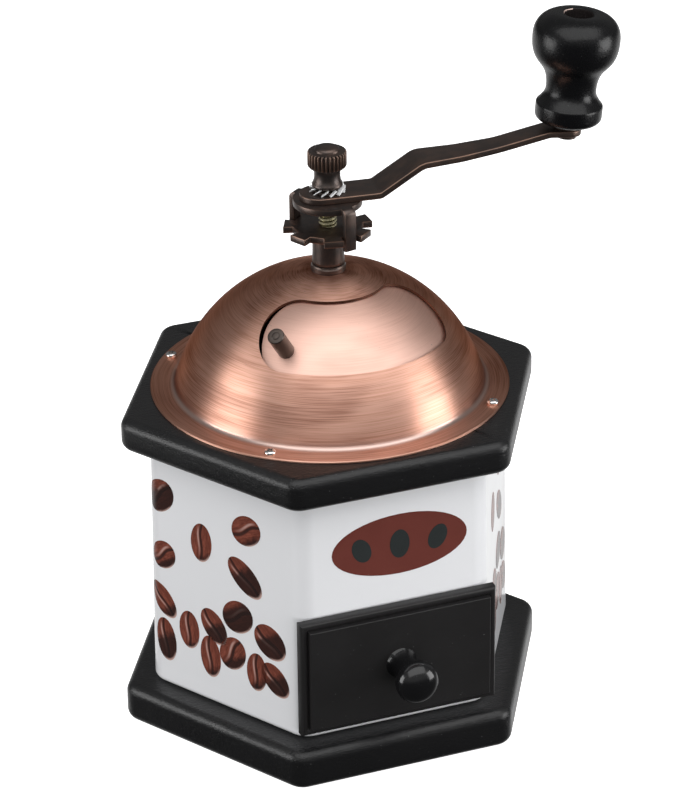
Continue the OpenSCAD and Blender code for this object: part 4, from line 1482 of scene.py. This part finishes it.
    def build_washer(self) -> None:
        """Builds the lock washer with its twisted teeth."""
        box = Span.of("toothed_washer")
        reach, seat = box.size.x / 2 - 0.12, self.tooth_root_r
        half = Vector((0, self.tooth_w / 2, self.tooth_t / 2))
        ring = Shape.tube(self.spindle_r + 0.1, seat, box.low.z + 0.2, box.low.z + 1.2, 68)
        for k in range(self.teeth):
            tooth = Shape.block(Vector((seat - 0.4, 0, 0)) - half, Vector((reach, 0, 0)) + half)
            tooth.rolled(0.06, 1)
            tooth.rotated(self.tooth_twist, "X").lifted(0, 0, box.middle.z).rotated(360 * k / self.teeth, "Z")
            ring.joined(tooth)
        # Painted shade: the washer's ring, behind and between the teeth, takes dark bronze instead of zinc.
        ring.marked(1, lambda face: face.calc_center_median().xy.length < seat + 0.02)
        finishes = [WASHER_ZINC, PIN_BRONZE]
        ring.finish("crank_toothed_washer", Body.CRANK, Slot.CHROME, finishes, ["toothed_washer"])

    def build_nut(self) -> None:
        """Builds the knurled nut as one loft whose head rings carry the ridges."""
        box = Span.of("thumb_nut")
        r = box.size.x / 2
        low, top = box.low.z, box.high.z
        head = top - self.crown_h
        knurl = head - self.knurl_h
        per, count = self.ridge_steps, self.ridges * self.ridge_steps
        outline = [
            (0.79 * r - 0.15, low, 0), (0.79 * r, low + 0.2, 0), (0.79 * r, low + 0.8, 0),
            (0.76 * r, low + 1.2, 0), (0.70 * r, low + 2.0, 0), (0.67 * r, low + 3.2, 0),
            (0.67 * r, low + 4.6, 0), (0.70 * r, knurl - 0.5, 0), (0.76 * r, knurl - 0.1, 0),
            (0.90 * r, knurl + 0.25, 0.5), (0.97 * r, knurl + 0.7, 1), (r, knurl + 1.1, 1),
            (r, head - 0.5, 1), (0.985 * r, head - 0.1, 1), (0.955 * r, head + 0.1, 0.6),
            (0.92 * r, head + 0.12, 0), (0.68 * r, head + 0.14, 0), (0.65 * r, head + 0.2, 0),
        ]
        dome = curve((0.64 * r, head + 0.5), (0.61 * r, head + 1.6), (0.40 * r, top), (0.05 * r, top), 9)
        outline += [(x, z, 0) for x, z in dome]
        rings, marks = [], []
        for radius, z, depth in outline:
            ring = []
            for i in range(count):
                share = i % per / per
                notch = depth * (0.5 + 0.5 * math.cos(FULL_TURN * share)) ** 2
                ring.append(polar(radius - self.ridge_depth * notch, 360 * i / count, z))
                marks.append(0.5 * depth * (1 - notch) ** 4)
            rings.append(ring)
        shape = Shape.lofted(rings, worn=marks)
        shape.finish("crank_thumb_nut", Body.CRANK, Slot.BRONZE, [MECHANISM_BRONZE], ["thumb_nut"], sharp=58)


@dataclass
class Knob:
    """The turned knob with its washer."""

    height: float = 38.6
    head_r: float = 14.55
    foot_r: float = 11.2
    foot_h: float = 7.4
    neck_r: float = 8.4
    hole_r: float = 4.7
    hole_depth: float = 12.0
    bore_r: float = 2.1
    chipped: Point = (96.0, 178.0)
    clear: float = 0.3
    washer_r: float = 4.6
    washer_h: float = 1.0
    washer_bore: float = 2.05
    arm_length: float = Crank.length
    turn: float = Crank.turn
    lean: float = 5.0
    pad_height: float = 15.7

    def section(self) -> list[Point]:
        """Returns the knob's closed half section."""
        foot, neck, hole, head, height = self.foot_r, self.neck_r, self.hole_r, self.head_r, self.height
        rim, neck_z, head_z, lip = self.foot_h, 0.325 * height, 0.78 * height, hole + 1.0
        bore = self.bore_r
        return [
            (bore, 0.0),
            *curve((6, 0), (foot * 0.8, 0.6), (foot, 1.6), (foot, 3.4), 8),
            *curve((foot, rim - 0.8), (foot, rim - 0.3), (foot - 0.1, rim), (foot - 0.5, rim + 0.3), 5),
            *curve((foot - 0.7, rim + 0.5), (neck + 0.9, rim + 2.2), (neck, neck_z - 2), (neck, neck_z), 12),
            *curve((neck + 0.01, neck_z + 0.5), (neck + 0.1, neck_z + 3.5), (neck + 0.7, neck_z + 5.4),
                   (neck + 1.9, neck_z + 7.1), 10),
            *curve((neck + 2.2, neck_z + 7.5), (neck + 4.0, neck_z + 9.8), (head, head_z - 6.4),
                   (head, head_z), 16),
            *curve((head - 0.01, head_z + 0.3), (head, head_z + 6), (lip + 4.6, height), (lip, height), 18),
            (hole + 0.3, height - 0.25),
            (hole + 0.14, height - 0.5),
            (hole, height - 0.9),
            (hole, height - self.hole_depth),
            (bore, height - self.hole_depth),
        ]

    def stood(self, shape: Shape, up: float) -> Shape:
        """Stands a shape on the arm's pad, leaning as the pad does."""
        pad = polar(self.arm_length, self.turn, Span.of("crank_arm").low.z + self.pad_height)
        return shape.lifted(0, 0, up).rotated(self.lean, "Y").rotated(self.turn, "Z").lifted(*pad)

    def build(self) -> None:
        """Builds the knob and its washer."""
        shape = Shape.turned(self.section(), 128, closed=True)
        inside = self.hole_r + 0.35

        def in_hole(face: bmesh.types.BMFace) -> bool:
            """Tells whether a face lies in the knob's top hole."""
            middle = face.calc_center_median()
            return middle.xy.length < inside and middle.z > self.height / 4

        def is_chipped(face: bmesh.types.BMFace) -> bool:
            """Tells whether a face lies where the paint has gone from the hole's rim."""
            middle = face.calc_center_median()
            at = math.degrees(math.atan2(middle.y, middle.x))
            in_step = self.height - 0.5 < middle.z < self.height - 0.2 and middle.xy.length < inside
            return in_step and self.chipped[0] < at < self.chipped[1]

        # The top hole takes painted shade.
        shape.marked(1, in_hole)
        shape.marked(2, is_chipped)
        self.stood(shape, self.washer_h + self.clear)
        finishes = [KNOB_BLACK, HOLE_SHADE, CHIPPED_RIM]
        shape.finish("knob_turning", Body.KNOB, Slot.WOOD, finishes, ["knob"], sharp=40)
        bore, r, h = self.washer_bore, self.washer_r, self.washer_h
        section = [(bore, 0), (r - 0.2, 0), (r, 0.2), (r, h - 0.2), (r - 0.2, h), (bore, h)]
        ring = Shape.turned(section, 72, closed=True)
        self.stood(ring, 0)
        ring.finish("knob_washer_ring", Body.CRANK, Slot.BRONZE, [MECHANISM_BRONZE], ["knob_washer"])


@dataclass
class Drawer:
    """The drawer with its moulded front, turned knob and wooden box."""

    lift: float = 0.7
    back_t: float = 1.8
    bead_h: float = 1.75
    pull_r: float = 7.3

    def frame_ring(self, box: Span, inset: float, y: float) -> list[Vector]:
        """Returns a rectangle inside the front's outline."""
        left, right = box.low.x + inset, box.high.x - inset
        low, high = box.low.z + self.lift + inset, box.high.z - inset
        return [Vector((x, y, z)) for x, z in ((left, low), (right, low), (right, high), (left, high))]

    def build(self) -> None:
        """Builds the drawer's pieces."""
        box = Span.of("drawer_front")
        back, front = box.high.y, box.low.y
        depth = back - front
        crest = self.back_t + self.bead_h
        moulding = [(0.0, 0.0), (0.0, self.back_t)]
        moulding += curve((0.02, self.back_t + 0.3), (0.1, crest - 0.3), (0.6, crest), (1.15, crest), 7)
        moulding += curve((1.25, crest), (1.7, crest), (2.2, crest - 0.3), (2.45, crest - 0.75), 6)
        moulding += [(2.62, crest - 0.8), (2.72, depth - 0.14), (2.86, depth)]
        shape = Shape.lofted([self.frame_ring(box, inset, back - out) for inset, out in moulding])
        name = "drawer_front_moulded"
        shape.finish(name, Body.DRAWER, Slot.WOOD, [FRONT_BLACK], ["drawer_front"], sharp=28)
        self.build_pull()
        for node in ("drawer_side_left", "drawer_side_right", "drawer_back", "drawer_floor"):
            side = Span.of(node)
            board = Shape.block(side.low, side.high).rolled(0.35, 2)
            board.finish(node + "_board", Body.DRAWER, Slot.BOX_WOOD, [BOX_WOOD], [node])

    def build_pull(self) -> None:
        """Builds the drawer's knob."""
        box = Span.of("drawer_knob")
        reach, r = box.size.y, self.pull_r
        stem = 0.62 * r
        widest, waist = reach - 0.75 * r, stem - 0.6
        section = [
            (0, 0),
            *curve((stem + 0.9, 0), (waist, 2), (waist, 4.5), (stem, widest - 4), 10),
            *curve((stem + 0.3, widest - 3.7), (r - 0.4, widest - 3.2), (r, widest - 1.6), (r, widest), 10),
            *curve((r - 0.01, widest + 0.3), (r, widest + 3), (r * 0.6, reach), (0, reach), 18),
        ]
        shape = Shape.turned(section, 96).rotated(90, "X").lifted(box.middle.x, box.high.y, box.middle.z)
        shape.finish("drawer_pull_turned", Body.DRAWER, Slot.WOOD, [PULL_BLACK], ["drawer_knob"], sharp=40)


@dataclass
class Works:
    """The frame's own pieces that stay as they are and only need a finish."""

    steel: tuple[str, ...] = (
        "tie_rod", "collar_nut", "housing_screw", "bridge_screw", "burr_nut", "spindle_clip", "outer_burr",
        "inner_burr", "drawer_knob_screw",
    )
    iron: tuple[str, ...] = ("burr_housing", "bearing_bridge")
    wood: tuple[str, ...] = ("drawer_runner",)
    bronze: tuple[str, ...] = ("knob_rivet",)

    def dress(self, nodes: dict[str, bpy.types.Object]) -> None:
        """Gives the remaining nodes their finishes.

        Args:
            nodes: The frame's nodes by name.
        """
        names = (self.steel, self.iron, self.wood, self.bronze)
        for starts, finish in zip(names, (HIDDEN_STEEL, CAST_IRON, BOX_WOOD, MECHANISM_BRONZE)):
            for name, node in nodes.items():
                if name.startswith(starts) and not node.hide_render:
                    node.data.materials.clear()
                    node.data.materials.append(finish.material())
                    LOG.info("%s keeps its shape, finished as %s", name, finish.name)


# Studio


@dataclass(frozen=True)
class Softbox:
    """A soft rectangular light aimed at the object."""

    name: str
    azimuth: float
    elevation: float
    distance: float
    width: float
    height: float
    watts: float
    mirrored: bool = True
    aim: Triple = (0.0, 0.0, 0.11)

    def place(self) -> None:
        """Adds the light."""
        lamp = bpy.data.lights.new(self.name, "AREA")
        lamp.shape = "RECTANGLE"
        lamp.size, lamp.size_y = self.width, self.height
        lamp.energy = self.watts
        light = bpy.data.objects.new(self.name, lamp)
        light.visible_glossy = self.mirrored
        out = outward(self.azimuth, self.elevation)
        light.matrix_world = Matrix.LocRotScale(
            Vector(self.aim) + out * self.distance, out.to_track_quat("Z", "Y"), None
        )
        bpy.context.scene.collection.objects.link(light)


@dataclass
class Studio:
    """A pale floor, soft lights, dim surroundings and the camera."""

    azimuth: float = -21.278
    elevation: float = 26.552
    roll: float = -0.642
    distance: float = 1221.07
    aside: float = 3.94
    rise: float = 7.36
    aim_height: float = 100.0
    lens: float = 162.0
    sensor: float = 36.0
    floor_size: float = 12.0
    room: float = 0.05
    overhead: float = 0.13
    near_side: float = 0.22
    backdrop: float = 0.85
    towards: Triple = (-0.25, -0.72, 0.64)
    away: Triple = (0.36, 0.93, 0.0)
    lights: tuple[Softbox, ...] = (
        Softbox("right_box", -32, 6, 0.62, 0.32, 0.34, 1.6),
        Softbox("left_box", 174, 6, 0.62, 0.40, 0.34, 1.8),
        Softbox("front_top", -92, 66, 0.90, 1.60, 1.00, 7.6),
        Softbox("front_wash", -90, 6, 1.50, 0.80, 0.60, 7.7, mirrored=False),
        Softbox("right_wash", -25, 12, 0.90, 0.50, 0.60, 0.7, mirrored=False),
    )

    def build(self) -> None:
        """Builds the camera, the floor, the lights and the surroundings."""
        self.build_camera()
        floor = Shape()
        bmesh.ops.create_grid(floor.bm, x_segments=2, y_segments=2, size=self.floor_size / 2)
        ground = floor.placed("floor")
        floor.bm.free()
        paint = Paint("floor_white")
        paint.dress(
            base_color=(0.9, 0.9, 0.9), roughness=0.9, emission_color=(1.0, 1.0, 1.0), emission_strength=1.0,
        )
        ground.data.materials.append(paint.material)
        ground.visible_glossy = False
        ground.visible_diffuse = False
        ground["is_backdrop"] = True
        for light in self.lights:
            light.place()
        self.build_surroundings()
        bpy.context.scene.view_settings.view_transform = "Standard"

    def build_surroundings(self) -> None:
        """Builds a dim room that is brighter overhead and on the camera's side."""
        world = bpy.data.worlds.new("surroundings")
        world.use_nodes = True
        nodes = Nodes(world.node_tree)
        way = nodes.node("ShaderNodeTexCoord").outputs["Generated"]

        def along(axis: Triple) -> Field:
            """Returns how far the direction looked in points along an axis."""
            product = nodes.node("ShaderNodeVectorMath", {"operation": "DOT_PRODUCT"}, {0: way, 1: axis})
            return Field(nodes, product.outputs["Value"])

        height = along((0.0, 0.0, 1.0))
        above, below = height.step(-0.05, 0.35), (-1.0 * height).step(0.0, 0.30)
        near, behind = along(self.towards).step(0.0, 0.9) * above, along(self.away).step(0.1, 0.8) * below
        strength = self.room + self.overhead * above + self.near_side * near + self.backdrop * behind
        background = world.node_tree.nodes["Background"]
        nodes.put(background.inputs["Strength"], strength)
        nodes.put(background.inputs["Color"], (1.0, 1.0, 1.0))
        bpy.context.scene.world = world

    def build_camera(self) -> None:
        """Builds the camera."""
        roll = math.radians(self.roll)
        back = outward(self.azimuth - 90, self.elevation)
        level = polar(1, self.azimuth)
        upright = back.cross(level)
        right = math.cos(roll) * level + math.sin(roll) * upright
        up = math.cos(roll) * upright - math.sin(roll) * level
        at = Vector((0, 0, self.aim_height)) + back * self.distance + right * self.aside + up * self.rise
        data = bpy.data.cameras.new("camera")
        data.sensor_width = self.sensor
        data.lens = self.lens
        camera = bpy.data.objects.new("camera", data)
        camera.matrix_world = Matrix.Translation(at * MM) @ Matrix((right, up, back)).transposed().to_4x4()
        bpy.context.scene.collection.objects.link(camera)
        bpy.context.scene.camera = camera


def corners(box: tuple[Vector, Vector]) -> list[list[float]]:
    """Returns a box's two corners as plain lists."""
    return [list(box[0]), list(box[1])]


def main() -> None:
    """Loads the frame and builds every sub-assembly."""
    logging.basicConfig(level=logging.INFO, format="%(name)s: %(message)s")
    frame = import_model()
    cad_box = corners(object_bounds())
    Studio().build()
    Board("base_board", edge_r=3.6, recesses=((46, 0), (0, 46), (-46, 0))).build()
    Board("top_board", hole_r=31.0, dish_r=47.0).build()
    CeramicBody().build()
    Dome().build()
    Shutter().build()
    Crank().build()
    Knob().build()
    Drawer().build()
    Works().dress(frame["nodes"])
    {"cad": cad_box, "visual": corners(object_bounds())}


if __name__ == "__main__":
    main()
